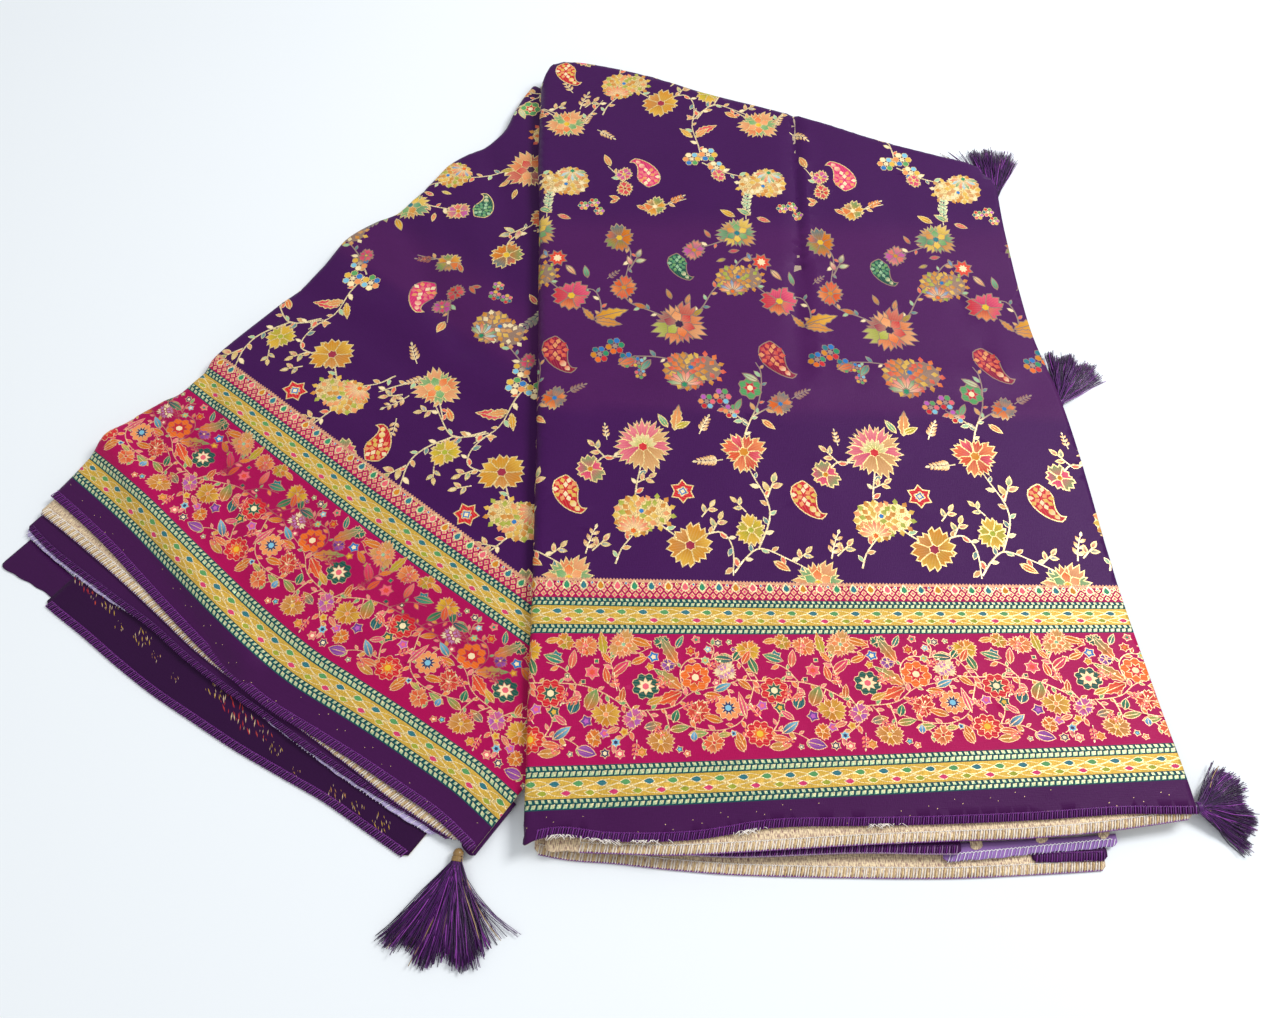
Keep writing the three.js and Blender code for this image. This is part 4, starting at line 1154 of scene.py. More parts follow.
# %% Shader arithmetic
class Value:
    """One output of a shader node. Arithmetic on it adds Math nodes."""

    def __init__(self, tree, socket):
        self.tree, self.socket = tree, socket

    def combine(self, operation, first, second):
        node = self.tree.nodes.new("ShaderNodeMath")
        node.operation = operation
        for socket, value in zip(node.inputs, (first, second)):
            if isinstance(value, Value):
                self.tree.links.new(value.socket, socket)
            else:
                socket.default_value = value
        return Value(self.tree, node.outputs[0])

    def __add__(self, other): return self.combine("ADD", self, other)
    def __radd__(self, other): return self.combine("ADD", other, self)
    def __sub__(self, other): return self.combine("SUBTRACT", self, other)
    def __rsub__(self, other): return self.combine("SUBTRACT", other, self)
    def __mul__(self, other): return self.combine("MULTIPLY", self, other)
    def __rmul__(self, other): return self.combine("MULTIPLY", other, self)
    def __pow__(self, other): return self.combine("POWER", self, other)


def new_material(name):
    """A material that has only a Principled surface."""
    material = bpy.data.materials.new(name)
    material.use_nodes = True
    return material


def node(material, kind, settings=(), stops=(), output=0, **inputs):
    """Adds any shader node: its settings, its colour stops, and its inputs as values or links. An input is
    named, or numbered as i0, i1 and so on."""
    tree = material.node_tree
    added = tree.nodes.new("ShaderNode" + kind)
    for name, value in dict(settings).items():
        setattr(added, name, value)
    for name, value in inputs.items():
        socket = added.inputs[int(name[1:]) if name[1:].isdigit() else name]
        if isinstance(value, Value):
            tree.links.new(value.socket, socket)
        else:
            socket.default_value = value
    for number, (place, colour) in enumerate(stops):
        ramp = added.color_ramp.elements
        stop = ramp[number] if number < len(ramp) else ramp.new(place)
        stop.position, stop.color = place, (*colour, 1)
    return Value(tree, added.outputs[output])


def feed(material, **inputs):
    """Sets the Principled surface's inputs: a fixed number on the socket, a varying value by a link."""
    surface = material.node_tree.nodes["Principled BSDF"]
    for name, value in inputs.items():
        socket = surface.inputs[name.replace("_", " ")]
        if isinstance(value, Value):
            material.node_tree.links.new(value.socket, socket)
        else:
            socket.default_value = value


def stretched_noise(material, source, across, along, detail=2.0):
    """Noise of about 0 to 1 on flat cloth coordinates: across and along are its grain's two lengths in mm."""
    scaled = node(material, "Mapping", i0=source, i3=(1 / across, 1 / along, 1.0))
    return node(material, "TexNoise", Vector=scaled, Scale=1.0, Detail=detail, Roughness=0.6)


def scaled_colour(material, colour, factor):
    """A colour times a varying number."""
    return node(material, "VectorMath", {"operation": "SCALE"}, i0=colour, i3=factor)


print("shader helpers ready")

# %% [markdown]
# The brocade takes its colour from the pattern. Fine noise along the threads keeps each area from being
# flat, the gold threads are a little metallic, their glitter grain by grain is painted glints in the colour
# as well as in roughness and bump, and a faint weave lifts the surface. The back of the brocade shows loose
# gold floats as short streaks.

# %% Materials
def silk(name, roughness):
    """Woven silk in the pattern's own colours."""
    material = new_material(name)
    flat = node(material, "UVMap", {"uv_map": "Cloth"})
    pattern = node(material, "Attribute", {"attribute_name": "Dye"})
    gold = node(material, "Attribute", {"attribute_name": "Dye"}, output=3)
    warp = stretched_noise(material, flat, 6.0, 0.5)
    weft = stretched_noise(material, flat, 0.5, 3.0)
    cloud = stretched_noise(material, flat, 60.0, 45.0, 3.0)
    glitter = stretched_noise(material, flat, 0.7, 1.3, 1.0)
    tone = 0.62 + 0.3 * warp + 0.22 * weft + 0.2 * cloud
    # painted glints: the gold thread's colour is painted bright and dark grain by grain
    tone = tone * (1.0 + gold * (glitter * 2.2 - 1.12))
    grain = node(material, "Attribute", {"attribute_name": "Grain"}, output=1)
    across = node(material, "SeparateXYZ", i0=grain, output=1)
    motif = node(material, "SeparateXYZ", i0=grain, output=2)
    ribs = node(material, "Math", {"operation": "SINE"}, i0=across * 6.2832) * 0.5 + 0.5
    ribs = motif * ribs**3.0 * (0.25 + glitter)
    dyed = node(
        material, "Mix", {"data_type": "RGBA"}, i0=0.14 * ribs, i6=pattern, i7=(*CREAM, 1.0), output=2)
    feed(material, Base_Color=scaled_colour(material, dyed, tone))
    feed(material, Roughness=roughness - 0.12 * gold + 0.16 * (glitter - 0.5), Metallic=0.38 * gold)
    height = 0.5 * warp + 0.5 * weft + 0.5 * gold * glitter
    bump = node(material, "Bump", Strength=0.5, Distance=0.00035, Height=height)
    feed(material, Normal=bump)
    feed(material, Sheen_Weight=0.03, Sheen_Roughness=0.35, Sheen_Tint=(0.9, 0.6, 1.0, 1.0),
         Specular_IOR_Level=0.2, Specular_Tint=(0.8, 0.55, 0.9, 1.0))
    return material


def streaked(name, ground, floats):
    """The back of the brocade: loose floats as short streaks over the ground."""
    material = new_material(name)
    flat = node(material, "UVMap", {"uv_map": "Cloth"})
    pattern = node(material, "Attribute", {"attribute_name": "Dye"})
    streak = stretched_noise(material, flat, 0.55, 2.6, 1.5)
    cross = stretched_noise(material, flat, 2.4, 0.9, 1.0)
    stops = ((0.3, ground), (0.44, mix(ground, floats, 0.5)), (0.56, floats), (0.72, mix(floats, CREAM, 0.7)))
    colour = node(material, "ValToRGB", stops=stops, Fac=streak)
    multiplied = {"data_type": "RGBA", "blend_type": "MULTIPLY"}
    dyed = node(material, "Mix", multiplied, i0=1.0, i6=colour, i7=pattern, output=2)
    feed(material, Base_Color=scaled_colour(material, dyed, 0.78 + 0.6 * cross),
         Roughness=0.55 - 0.15 * streak, Metallic=0.15)
    bump = node(material, "Bump", Strength=0.6, Distance=0.0005, Height=streak + cross)
    feed(material, Normal=bump, Sheen_Weight=0.15)
    return material


def thread(name, roughness):
    """Spun thread: its colour is that of each strand, with a lengthwise shimmer."""
    material = new_material(name)
    pattern = node(material, "Attribute", {"attribute_name": "Dye"})
    place = node(material, "TexCoord", output=3)
    grain = node(material, "TexNoise", Vector=place, Scale=900.0, Detail=1.0)
    feed(material, Base_Color=scaled_colour(material, pattern, 0.7 + 0.6 * grain), Roughness=roughness,
         Sheen_Weight=0.1, Sheen_Roughness=0.35)
    return material


materials = {
    "brocade": silk("brocade", 0.5),
    "plain_edge": silk("plain_edge", 0.5),
    "inner_cloth": silk("inner_cloth", 0.5),
    "blouse_cloth": silk("blouse_cloth", 0.62),
    "gold_reverse": streaked("gold_reverse", dye(128, 84, 84), REVERSE_GOLD),
    "tassel_thread": thread("tassel_thread", 0.32),
}
print("materials:", ", ".join(materials))

# %% [markdown]
# ## The two patterned sheets
# The near edge, the far edge and the two sides give each sheet's flat outline. A grid of points inside it
# carries the creases, closer together where the cloth rolls over an edge.

# %% Cloth with a pattern, as a thin closed shell
CLOTH_THICKNESS = 0.7
LOFT = 0.9                   # away from its edges the cloth lies loosely, and its shell is this much thicker
THREAD_LIFT = 0.14
# painted light: the ground colour painted inside the zones, lighter and redder than GROUND, as the light
# falls on that part of the cloth
PAINTED_LIGHT_GROUND = dye(76, 24, 82)


def painted_light_share(flat, painted_light_zones):
    """Where light and shade are painted into the pattern: 1 well inside each zone of t and s, and 0 well
    outside.
    """
    share = np.zeros(flat.shape)
    for low, high, left, right in painted_light_zones:
        t_share = smooth((flat.imag - low) / 9) * smooth((high - flat.imag) / 30)
        s_share = smooth((flat.real - left) / 20 + 1) * smooth((right - flat.real) / 20 + 1)
        share = np.maximum(share, t_share * s_share)
    return share


def woven_dyes(shapes, flat, triangles, cover, ground, painted_light_zones):
    """Colour and gold share of each triangle corner, from the last loop over the triangle, and the grain:
    the place along and across that loop, in widths of its ribs, and 1 on a motif."""
    bare_cloth = (ground, ground, 0j, 1 + 0j, 0.0)
    looks = zip(bare_cloth, *[look for _, *look in shapes])
    near, far, base, way, gold = (np.array(column)[cover][:, None] for column in looks)
    corner = flat[triangles]
    place = (corner - base) * np.conj(way) / np.abs(way)
    colour = mix(near, far, np.clip(place.real / np.abs(way), 0, 1)[..., None])
    # Painted light and shade: inside the zones the ground is painted lighter, the motifs a little darker and
    # their ribs fainter, and the gold thread takes the ground's colour without its glint, as the light falls
    # on that fold; the gold's metallic share is lowered there too.
    painted_light = painted_light_share(corner, painted_light_zones)[..., None]
    painted_dull_gold = painted_light * (gold > 0.4)[..., None]
    bare = (cover == 0)[:, None, None]
    in_magenta = ((corner.imag > MAGENTA_LOW) & (corner.imag < MAGENTA_TOP))[..., None]
    painted_dim_gold = np.where(in_magenta, 0.8 * MAGENTA, mix(PAINTED_LIGHT_GROUND, colour, 0.25))
    colour = mix(colour, painted_dim_gold, 0.9 * painted_dull_gold) * (1 - 0.1 * painted_light * ~bare)
    colour = mix(colour, PAINTED_LIGHT_GROUND, 0.7 * painted_light * bare)
    rib = place / np.clip(0.13 * np.abs(way), 0.8, 1.7)
    motif = ((cover > 0)[:, None] & (gold < 0.4) & (np.abs(way) < 60)) * (1 - 0.5 * painted_light[..., 0])
    grain = np.stack([rib.real, rib.imag, motif], -1)
    return np.concatenate([colour, gold[..., None] * (1 - 0.8 * painted_dull_gold)], -1), grain


def pattern_sheet(name, surface, outline, grid, under_grid, drawing, ground, slot, nodes, painted_light_zones=()):
    """The upper side follows the drawing, the underside is plain, and a rim joins them."""
    low = complex(outline.real.min() - 1, outline.imag.min() - 1)
    high = complex(outline.real.max() + 1, outline.imag.max() + 1)
    kept = [shape for shape in drawing.shapes
            if shape[0].real.max() > low.real and shape[0].real.min() < high.real
            and shape[0].imag.max() > low.imag and shape[0].imag.min() < high.imag]
    flat, triangles, cover, is_extra = triangulate([outline, *[shape[0] for shape in kept]], grid)
    flat, triangles, cover = without_hidden(flat, triangles, cover, is_extra)
    dyes, grain = woven_dyes(kept, flat, triangles, cover, ground, painted_light_zones)
    lift = np.bincount(triangles.ravel(), weights=dyes[..., 3].ravel(), minlength=len(flat))
    lift = THREAD_LIFT * lift / np.maximum(np.bincount(triangles.ravel(), minlength=len(flat)), 1)
    ring = rim_of(triangles)
    lower_flat, lower_triangles, _, _ = triangulate([flat[ring]], under_grid)
    lower_ring = rim_of(lower_triangles)
    start = np.argmin(np.abs(lower_flat[lower_ring] - flat[ring[0]]))
    lower_ring = np.roll(lower_ring, -start)
    if len(lower_ring) != len(ring):
        raise ValueError(f"{name}: the rim has {len(ring)} points above and {len(lower_ring)} below")
    count = len(flat)
    upper = surface(flat.real, flat.imag) + surface_normals(surface, flat) * lift[:, None]
    to_rim = np.min([np.abs(lower_flat - place) for place in flat[ring][::3]], axis=0)
    thickness = CLOTH_THICKNESS + LOFT * smooth((to_rim - 2) / 10)
    lower = surface(lower_flat.real, lower_flat.imag)
    lower = lower - surface_normals(surface, lower_flat) * thickness[:, None]
    lower[:, 2] = np.maximum(lower[:, 2], 0.05)
    below = lower_ring + count
    rim = quads(ring, below, np.roll(below, -1), np.roll(ring, -1))
    everything = np.concatenate([triangles, lower_triangles[:, ::-1] + count, rim])
    places = np.concatenate([flat, lower_flat])[everything]
    uv = np.stack([places.real, places.imag], -1)
    share = (uv - (low.real, low.imag)) / ((high - low).real, (high - low).imag)
    # in the baked picture the upper side is at the left, the underside beside it, and the rim at the right
    bake = 0.002 + share * (0.636, 0.996)
    rim_start = len(triangles) + len(lower_triangles)
    rows = slice(len(triangles), rim_start)
    bake[rows] = share[rows] * (0.3, 0.996) + (0.65, 0.002)
    turn = np.arange(len(ring)) / len(ring)
    next_turn = turn + 1 / len(ring)
    rim_v = np.concatenate([np.stack([turn, turn, next_turn], 1), np.stack([turn, next_turn, next_turn], 1)])
    rim_u = np.repeat([[0.96, 0.99, 0.99], [0.96, 0.99, 0.96]], len(ring), axis=0)
    bake[rim_start:] = np.stack([rim_u, 0.002 + 0.996 * rim_v], -1)
    under_dyes = np.tile([*mix(ground, REVERSE_GOLD, 0.55), 0.0], (len(everything) - len(triangles), 3, 1))
    obj = add_mesh(name, np.concatenate([upper, lower]), everything, slot, nodes, uv, bake,
                   np.concatenate([dyes, under_dyes]), slice(rim_start, None))
    layer = obj.data.attributes.new("Grain", "FLOAT_VECTOR", "CORNER")
    grain = np.concatenate([grain, np.zeros((len(under_dyes), 3, 3))])
    layer.data.foreach_set("vector", np.ascontiguousarray(grain, dtype=np.float32).ravel())
    print(f"{name}: {len(kept)} loops, {len(triangles)} triangles above, {len(everything)} in all")
    return obj


def columns(values, rows):
    """Grid points: for each s its own list of t."""
    return np.concatenate([s + 1j * rows(s) for s in values])


print("cloth is", CLOTH_THICKNESS, "mm thick")

# %% The panel
PANEL_HEM = -31.0            # how far the cloth goes round the left fold and back underneath


def panel_near_t(s):
    """The near edge; where the cloth has gone round the fold it keeps back a little, out of sight."""
    across = np.clip(s / CLOTH_WIDTH, 0, 1)
    return panel_row_inverse(across, panel_near(across)) + 7 * smooth((3 - s) / 12)


def panel_far_t(s, past=14.0):
    across = np.clip(s / CLOTH_WIDTH, 0, 1)
    return panel_row_inverse(across, panel_far(across) + past)


s_edge = np.arange(PANEL_HEM, CLOTH_WIDTH + 0.1, 383 / 192)
t_left = np.linspace(panel_near_t(PANEL_HEM), panel_far_t(PANEL_HEM), 120)[1:-1]
t_right = np.linspace(panel_near_t(CLOTH_WIDTH), panel_far_t(CLOTH_WIDTH), 160)[1:-1]
panel_outline = np.concatenate([
    s_edge + 1j * panel_near_t(s_edge), CLOTH_WIDTH + 1j * t_right,
    (s_edge + 1j * panel_far_t(s_edge))[::-1], PANEL_HEM + 1j * t_left[::-1]])
roll_columns = np.arange(PANEL_HEM + 1.5, 7, 1.5)


def panel_rows(step, margin=1.2):
    """Rows of a column: even over the flat part, and 1.6 mm apart where the far edge rolls over."""
    def rows(s):
        low, turn, high = panel_near_t(s), panel_far_t(s, -8.0), panel_far_t(s)
        return np.concatenate([np.arange(low + margin, turn - 1, step), np.arange(turn, high - 0.6, 1.6)])
    return rows


def pressed_rows(s):
    """Rows where the pressed crease runs, from the middle of the panel to its far edge."""
    rows = panel_rows(9)(s)
    return rows[(rows > 385) & (rows < panel_far_t(s, -8.0) - 2)]


panel_grid = np.concatenate([
    columns(roll_columns, panel_rows(9)), columns(np.arange(9, 351, 8.5), panel_rows(8.5)),
    columns(np.arange(180, 206, 2.1), pressed_rows)])
panel_under = np.concatenate([
    columns(roll_columns, panel_rows(8)), columns(np.arange(9, 351, 11), panel_rows(11))])
# zones where light and shade are painted into the panel's pattern
PANEL_PAINTED_LIGHT = [(262, 440, -40, 400)]         # each zone: t from, t to, s from, s to
panel_cloth = pattern_sheet("panel_brocade", panel_surface, panel_outline, panel_grid, panel_under, panel_art,
                            GROUND, "brocade", ["panel_top"], PANEL_PAINTED_LIGHT)

# %% The fan
FAN_HEM = 13.0               # how far the cloth goes over the outer fold and back underneath
FAN_FAR_T = 489.0


def fan_inner_end(along):
    return np.minimum(FAN_WIDTH, (331.5 + along * fan_sin) / fan_cos)


t_side = np.arange(0, FAN_FAR_T + 0.1, FAN_FAR_T / 240)
fan_left_s = fan_inward(fan_along(0 * t_side, t_side)) - FAN_HEM
fan_right_s = fan_inner_end(fan_along(353 + 0 * t_side, t_side))
s_near = np.linspace(fan_left_s[0], fan_right_s[0], 180)[1:-1]
s_far = np.linspace(fan_left_s[-1], fan_right_s[-1], 36)[1:-1]
fan_outline = np.concatenate([
    s_near + 0j, fan_right_s + 1j * t_side, (s_far + 1j * FAN_FAR_T)[::-1], (fan_left_s + 1j * t_side)[::-1]])


def fan_grid_points(step):
    """Rows of points from the outer fold to the hidden end, closer together over the fold."""
    rows = []
    fine = 0.6 * step
    for t in [*np.arange(1.5, 64, fine), *np.arange(66, 474, step), *np.arange(475, FAN_FAR_T - 1, 1.6)]:
        start = float(fan_inward(fan_along(0.0, t)))
        end = float(fan_inner_end(fan_along(353.0, t)))
        apart = fine if t < 64 else step
        over_fold = np.arange(start - FAN_HEM + 1.2, start + 6.5, 1.5)
        rows.append(np.append(over_fold, np.arange(start + 9, end - 1.5, apart)) + 1j * t)
    return np.concatenate(rows)


# zones where light and shade are painted into the fan's pattern
FAN_PAINTED_LIGHT = [(80, 119, -40, 400), (258, 322, 0, 400)]
fan_cloth = pattern_sheet("fan_brocade", fan_surface, fan_outline, fan_grid_points(6.5), fan_grid_points(8.5),
                          fan_art, GROUND, "brocade", ["fan_top"], FAN_PAINTED_LIGHT)

# %% [markdown]
# ## The plies below
# Near the camera the lower plies stick out one under another, like the pages of a book: the gold reverse of
# the brocade, plain purple selvedges, and the lavender blouse length. Each is a thin strip with a wavy front.

# %% A strip of cloth
def closed_grid(top, bottom):
    """Two grids of points, rows by columns, joined all round into one closed shell."""
    rows, cols = top.shape[:2]
    number = np.arange(rows * cols).reshape(rows, cols)
    upper = quads(number[:-1, :-1], number[:-1, 1:], number[1:, 1:], number[1:, :-1])
    ring = np.concatenate([number[0], number[1:, -1], number[-1, -2::-1], number[-2:0:-1, 0]])
    under = rows * cols
    after = np.roll(ring, -1)
    rim = quads(ring, ring + under, after + under, after)
    points = np.concatenate([top.reshape(-1, 3), bottom.reshape(-1, 3)])
    return points, np.concatenate([upper, upper[:, ::-1] + under, rim])


def strip(name, slot, nodes, place, ends, front, back, under, wall, colour, seed=0.0):
    """A strip from its front edge to its back edge, both given along the cloth's near edge. under is the
    height of its underside, and the front droops and waves a little."""
    across = np.linspace(*ends, int((ends[1] - ends[0]) / 1.6) + 2)[None, :]
    share = np.array([0, 0.04, 0.12, 0.25, 0.45, 0.7, 1.0])[:, None]
    round_end = 1.6 * (1 - np.sqrt(1 - smooth(1 - np.minimum(across - ends[0], ends[1] - across) / 2.5)))
    fray = 0.25 * np.sin(across / 1.9 + seed) + 0.3 * np.sin(across / 7.3 + 2 * seed)
    along = mix(front(across) + round_end + fray, back(across), share)
    wave = (0.16 * np.sin(across / 13 + seed) + 0.08 * np.sin(across / 5.1 + seed * 3)) * (1 - share)
    low = under(across) + 0 * share
    top = place(across + 0 * share, along, low + wall + wave - 0.25 * (1 - smooth(share * 9)))
    bottom = place(across + 0 * share, along, np.maximum(low + wave, 0.02))
    points, triangles = closed_grid(top, bottom)
    flat_place = np.stack([across + 0 * share, along], -1).reshape(-1, 2)
    uv = np.concatenate([flat_place, flat_place])[triangles]
    size = flat_place.max(0) - flat_place.min(0)
    bake = (uv - flat_place.min(0)) / size * (0.98, 0.44) + (0.01, 0.01)
    # in the baked picture the underside lies above the upper side, and the rim above both
    half = (len(triangles) - 2 * (sum(top.shape[:2]) * 2 - 4)) // 2
    bake[half:] += (0, 0.46)
    bake[2 * half:] = bake[2 * half:] * (1, 0.12) + (0, 0.88)
    dyes = np.tile([*colour, 0.0], (len(triangles), 3, 1))
    obj = add_mesh(name, points, triangles, slot, nodes, uv, bake, dyes)


def level(value):
    return lambda across: value + 0 * across


def sloping(value, slope, start):
    return lambda across: value + slope * (across - start)


def panel_place(x, y, z):
    return np.stack([x + 0 * y, y, z + 0 * y], -1)


WHITE = np.array([1.0, 1.0, 1.0])
STRIP_PURPLE = dye(58, 16, 66)
LAVENDER = dye(200, 186, 226)
strip("fan_gold_ply", "gold_reverse", ["fan_ply_2"], fan_place, (6, 342), fan_edges["gold"], level(14),
      level(3.95), 1.0, WHITE, 0.4)
strip("fan_purple_ply", "plain_edge", ["fan_ply_3"], fan_place, (8, 338), fan_edges["purple"], level(14),
      level(2.65), 1.0, STRIP_PURPLE, 1.9)
strip("blouse_left_ply", "blouse_cloth", ["blouse_left"], fan_place, (8.5, 330), fan_edges["lavender"],
      level(14), level(1.35), 1.0, LAVENDER, 3.1)
print("strips of the fan placed")

# %% The fan's lowest ply, with the reverse side of a few motifs, and the two small pieces beside it
SAND_FLOAT = dye(196, 160, 130)
FLOAT_PATCHES = [            # across, along, width, dye
    (62, -26, 12, "red"), (75, -29, 8, "coral"), (87, -27, 10, "straw"), (102, -33, 6, "straw"),
    (118, -29, 10, "straw"), (133, -32, 6, "sand"), (152, -34, 5, "sand"), (176, -25, 9, "straw"),
    (189, -24, 13, "red"), (203, -26, 12, "red"), (216, -25, 8, "coral"), (228, -27, 7, "straw"),
    (246, -29, 5, "sand"), (272, -24, 9, "sand"), (286, -22, 7, "straw"), (302, -20, 9, "straw"),
]
lowest_art = Drawing()
for across, along, wide, name in FLOAT_PATCHES:
    for k in range(int(1.6 * wide)):
        at = complex(across + 0.5 * wide * math.sin(k * 5.3 + across),
                     along + 0.32 * wide * math.sin(k * 3.7 + 2 * across))
        pen = Pen(lowest_art, at, -38 + 14 * math.sin(k * 1.9), wide * (0.3 + 0.12 * math.sin(k * 7.7)))
        near, far = (0.55 * DYES[name], 0.7 * DYES[name]) if k % 3 else (0.8 * CREAM, SAND_FLOAT)
        pen.fill(leaf_loop(0.14, 1, 3), near, far)


def lowest_surface(s, t):
    return fan_place(s, t, 1.0 + 0.15 * np.sin(s / 13) * smooth((-t - 20) / 20) + 0.6 * smooth((66 - s) / 8))


across = np.linspace(56, 326, 170)
rounding = smooth(1 - (across - 56) / 4) + smooth(1 - (326 - across) / 4)
front = fan_edges["lowest"](across) + 2.5 * rounding
lowest_outline = np.concatenate([across + 1j * front, 326 + 1j * np.linspace(front[-1], 14, 16)[1:-1],
                                 (across + 14j)[::-1], 56 + 1j * np.linspace(14, front[0], 16)[1:-1]])
lowest_grid = columns(np.arange(59, 324, 4), lambda s: np.arange(float(fan_edges["lowest"](s)) + 4, 13, 4))
lowest_ply = pattern_sheet("fan_lowest_ply", lowest_surface, lowest_outline, lowest_grid, lowest_grid,
                           lowest_art, dye(44, 10, 52), "plain_edge", ["fan_ply_4"])
strip("fan_corner_ply", "plain_edge", ["fan_corner"], fan_place, (14, 57.5), sloping(-51.5, 0.14, 16),
      level(-29.7), level(0.0), 1.0, STRIP_PURPLE, 0.9)
strip("fan_end_ply", "plain_edge", ["fan_end"], fan_place, (344.5, 354.3), level(-4.5), level(30), level(2.6),
      2.4, STRIP_PURPLE, 2.2)

# %% The panel's lower plies
near_x = [-32, -10, 16, 45, 80, 142, 190, 232, 273, 321]
panel_edges = {
    "second": curve(near_x, [-270.5, -271, -272, -273, -271.5, -268, -266, -264.5, -261, -254.5]),
    "third": curve(near_x, [-268, -270, -271, -272, -273.5, -271.5, -272, -270, -268, -262]),
    "fourth": curve(near_x, [-270, -274, -276, -279, -281.5, -283, -283.2, -281.5, -279, -274]),
}


def second_under(x):
    """The second ply climbs over the left fold's start and then lies on the plies below."""
    return 6.1 + 2.7 * smooth((x + 5) / 60)


def third_under(x):
    return 4.4 + smooth((x + 14) / 80)


def behind(name, depth=17.1):
    return lambda x: panel_edges[name](x) + depth


strip("panel_second_ply", "gold_reverse", ["panel_ply_2"], panel_place, (-21, 319), panel_edges["second"],
      behind("second"), second_under, 1.1, WHITE, 0.7)
strip("panel_third_ply", "plain_edge", ["panel_ply_3"], panel_place, (-4, 196), panel_edges["third"],
      behind("third"), third_under, 1.1, STRIP_PURPLE, 1.3)
strip("panel_fourth_ply", "gold_reverse", ["panel_ply_4"], panel_place, (-27, 272), panel_edges["fourth"],
      behind("fourth"), level(0.0), 1.1, WHITE, 2.7)
blouse_edge = sloping(-276, 0.09, 187)
end_edge = sloping(-275.5, 0.02, 234)
strip("blouse_right_ply", "blouse_cloth", ["blouse_right"], panel_place, (187, 279.5), blouse_edge,
      behind("fourth", 17), level(2.6), 1.0, dye(150, 112, 178), 3.3)
strip("panel_end_ply", "plain_edge", ["panel_end"], panel_place, (234, 273.5), end_edge,
      behind("fourth", 17), level(1.3), 1.0, STRIP_PURPLE, 1.1)
for number, x in enumerate((205.0, 240.0, 273.0)):
    strip(f"blouse_square_{number + 1}", "gold_reverse", [], panel_place, (x - 3.2, x + 3.2),
          sloping(-271.6, 0.09, 187), sloping(-265.5, 0.09, 187), level(3.75), 0.35, WHITE)
print("lower plies placed")

# %% [markdown]
# ## The plies inside
# Between the top and the surface the stack is many folds of the same cloth. They share one solid, and its
# side is layered: one rounded fold above another.

# %% A stack with a layered edge
def stack_of_plies(outline, low, high, plies, ceiling, bulge=0.9):
    """A closed stack: its side goes out and in once for each ply. Its top keeps under the ceiling, the sheet
    that lies on it, and its underside is flat."""
    ahead = np.roll(outline, -1) - np.roll(outline, 1)
    inward = 1j * ahead / np.abs(ahead)
    steps = plies * 4
    share = np.arange(steps + 1) / steps
    phase = share * plies
    number = np.arange(len(outline))
    rings = []
    for k in range(steps + 1):
        ply = min(int(phase[k]), plies - 1)
        hollow = bulge * (1 - np.sqrt(np.clip(1 - (2 * (phase[k] - ply) - 1) ** 2, 0, 1)))
        uneven = 0.55 * (1 + np.sin(ply * 2.1 + number * 0.045 + np.sin(ply * 5.3)))
        ring = outline + inward * (hollow + uneven)
        rings.append(np.stack([ring.real, ring.imag, mix(low, high, share[k]) + 0 * number], -1))
    points = np.concatenate(rings)
    n, m = len(rings), len(outline)
    a = np.arange((n - 1) * m).reshape(n - 1, m)
    b = np.roll(a, -1, axis=1)
    side = quads(a, b, b + m, a + m)
    caps = []
    for ring, flip in ((0, True), (n - 1, False)):
        loop = rings[ring][:, 0] + 1j * rings[ring][:, 1]
        x = np.arange(loop.real.min() + 4, loop.real.max(), 9)
        y = np.arange(loop.imag.min() + 4, loop.imag.max(), 9)
        inner = (x[None, :] + 1j * y[:, None]).ravel()
        winding = np.angle((np.roll(loop, -1)[None] - inner[:, None]) / (loop[None] - inner[:, None])).sum(1)
        flat, triangles, _, is_inner = triangulate([loop], loop[:0] if flip else inner[np.abs(winding) > 3])
        nearest = np.array([np.argmin(np.abs(loop - place)) for place in flat]) + ring * m
        index = np.where(is_inner, len(points) - 1 + np.cumsum(is_inner), nearest)
        added = flat[is_inner]
        points = np.concatenate([points, np.stack([added.real, added.imag, high + 0 * added.real], -1)])
        triangles = index[triangles]
        caps.append(triangles[:, ::-1] if flip else triangles)
    points[:, 2] = np.minimum(points[:, 2], ceiling(points[:, 0], points[:, 1]))
    return points, np.concatenate([side, *caps])


def add_stack(name, outline, low, high, plies, nodes, ceiling):
    points, triangles = stack_of_plies(outline, low, high, plies, ceiling)
    uv = points[triangles][..., :2] + points[triangles][..., 2:] * 7.0
    dyes = np.tile([*dye(72, 26, 96), 0.0], (len(triangles), 3, 1))
    obj = add_mesh(name, points, triangles, "inner_cloth", nodes, uv, None, dyes)
    return obj


side_place = np.arange(panel_near(0.5) + 18, 285, 3.0)
right_side = panel_right(side_place) - 4.2 + 1j * side_place
far_share = np.linspace(0.985, 0.04, 100)
far_y = panel_far(far_share) - 4.0
far_side = panel_left(far_y) + far_share * (panel_right(far_y) - panel_left(far_y)) + 1j * far_y
right_side = right_side[right_side.imag < far_y[0] - 2]
left_side = -5.0 + 1j * np.arange(far_y[-1] - 4, panel_near(0.5) + 18, -6.0)
panel_ring = np.concatenate([[-5.0 + 1j * (panel_near(0.5) + 16)], right_side, far_side, left_side])
add_stack("panel_inner_plies", panel_ring, 0.1, 9.6, 7, ["inner_layers"],
          lambda x, y: panel_top(x, y) - 2.6)

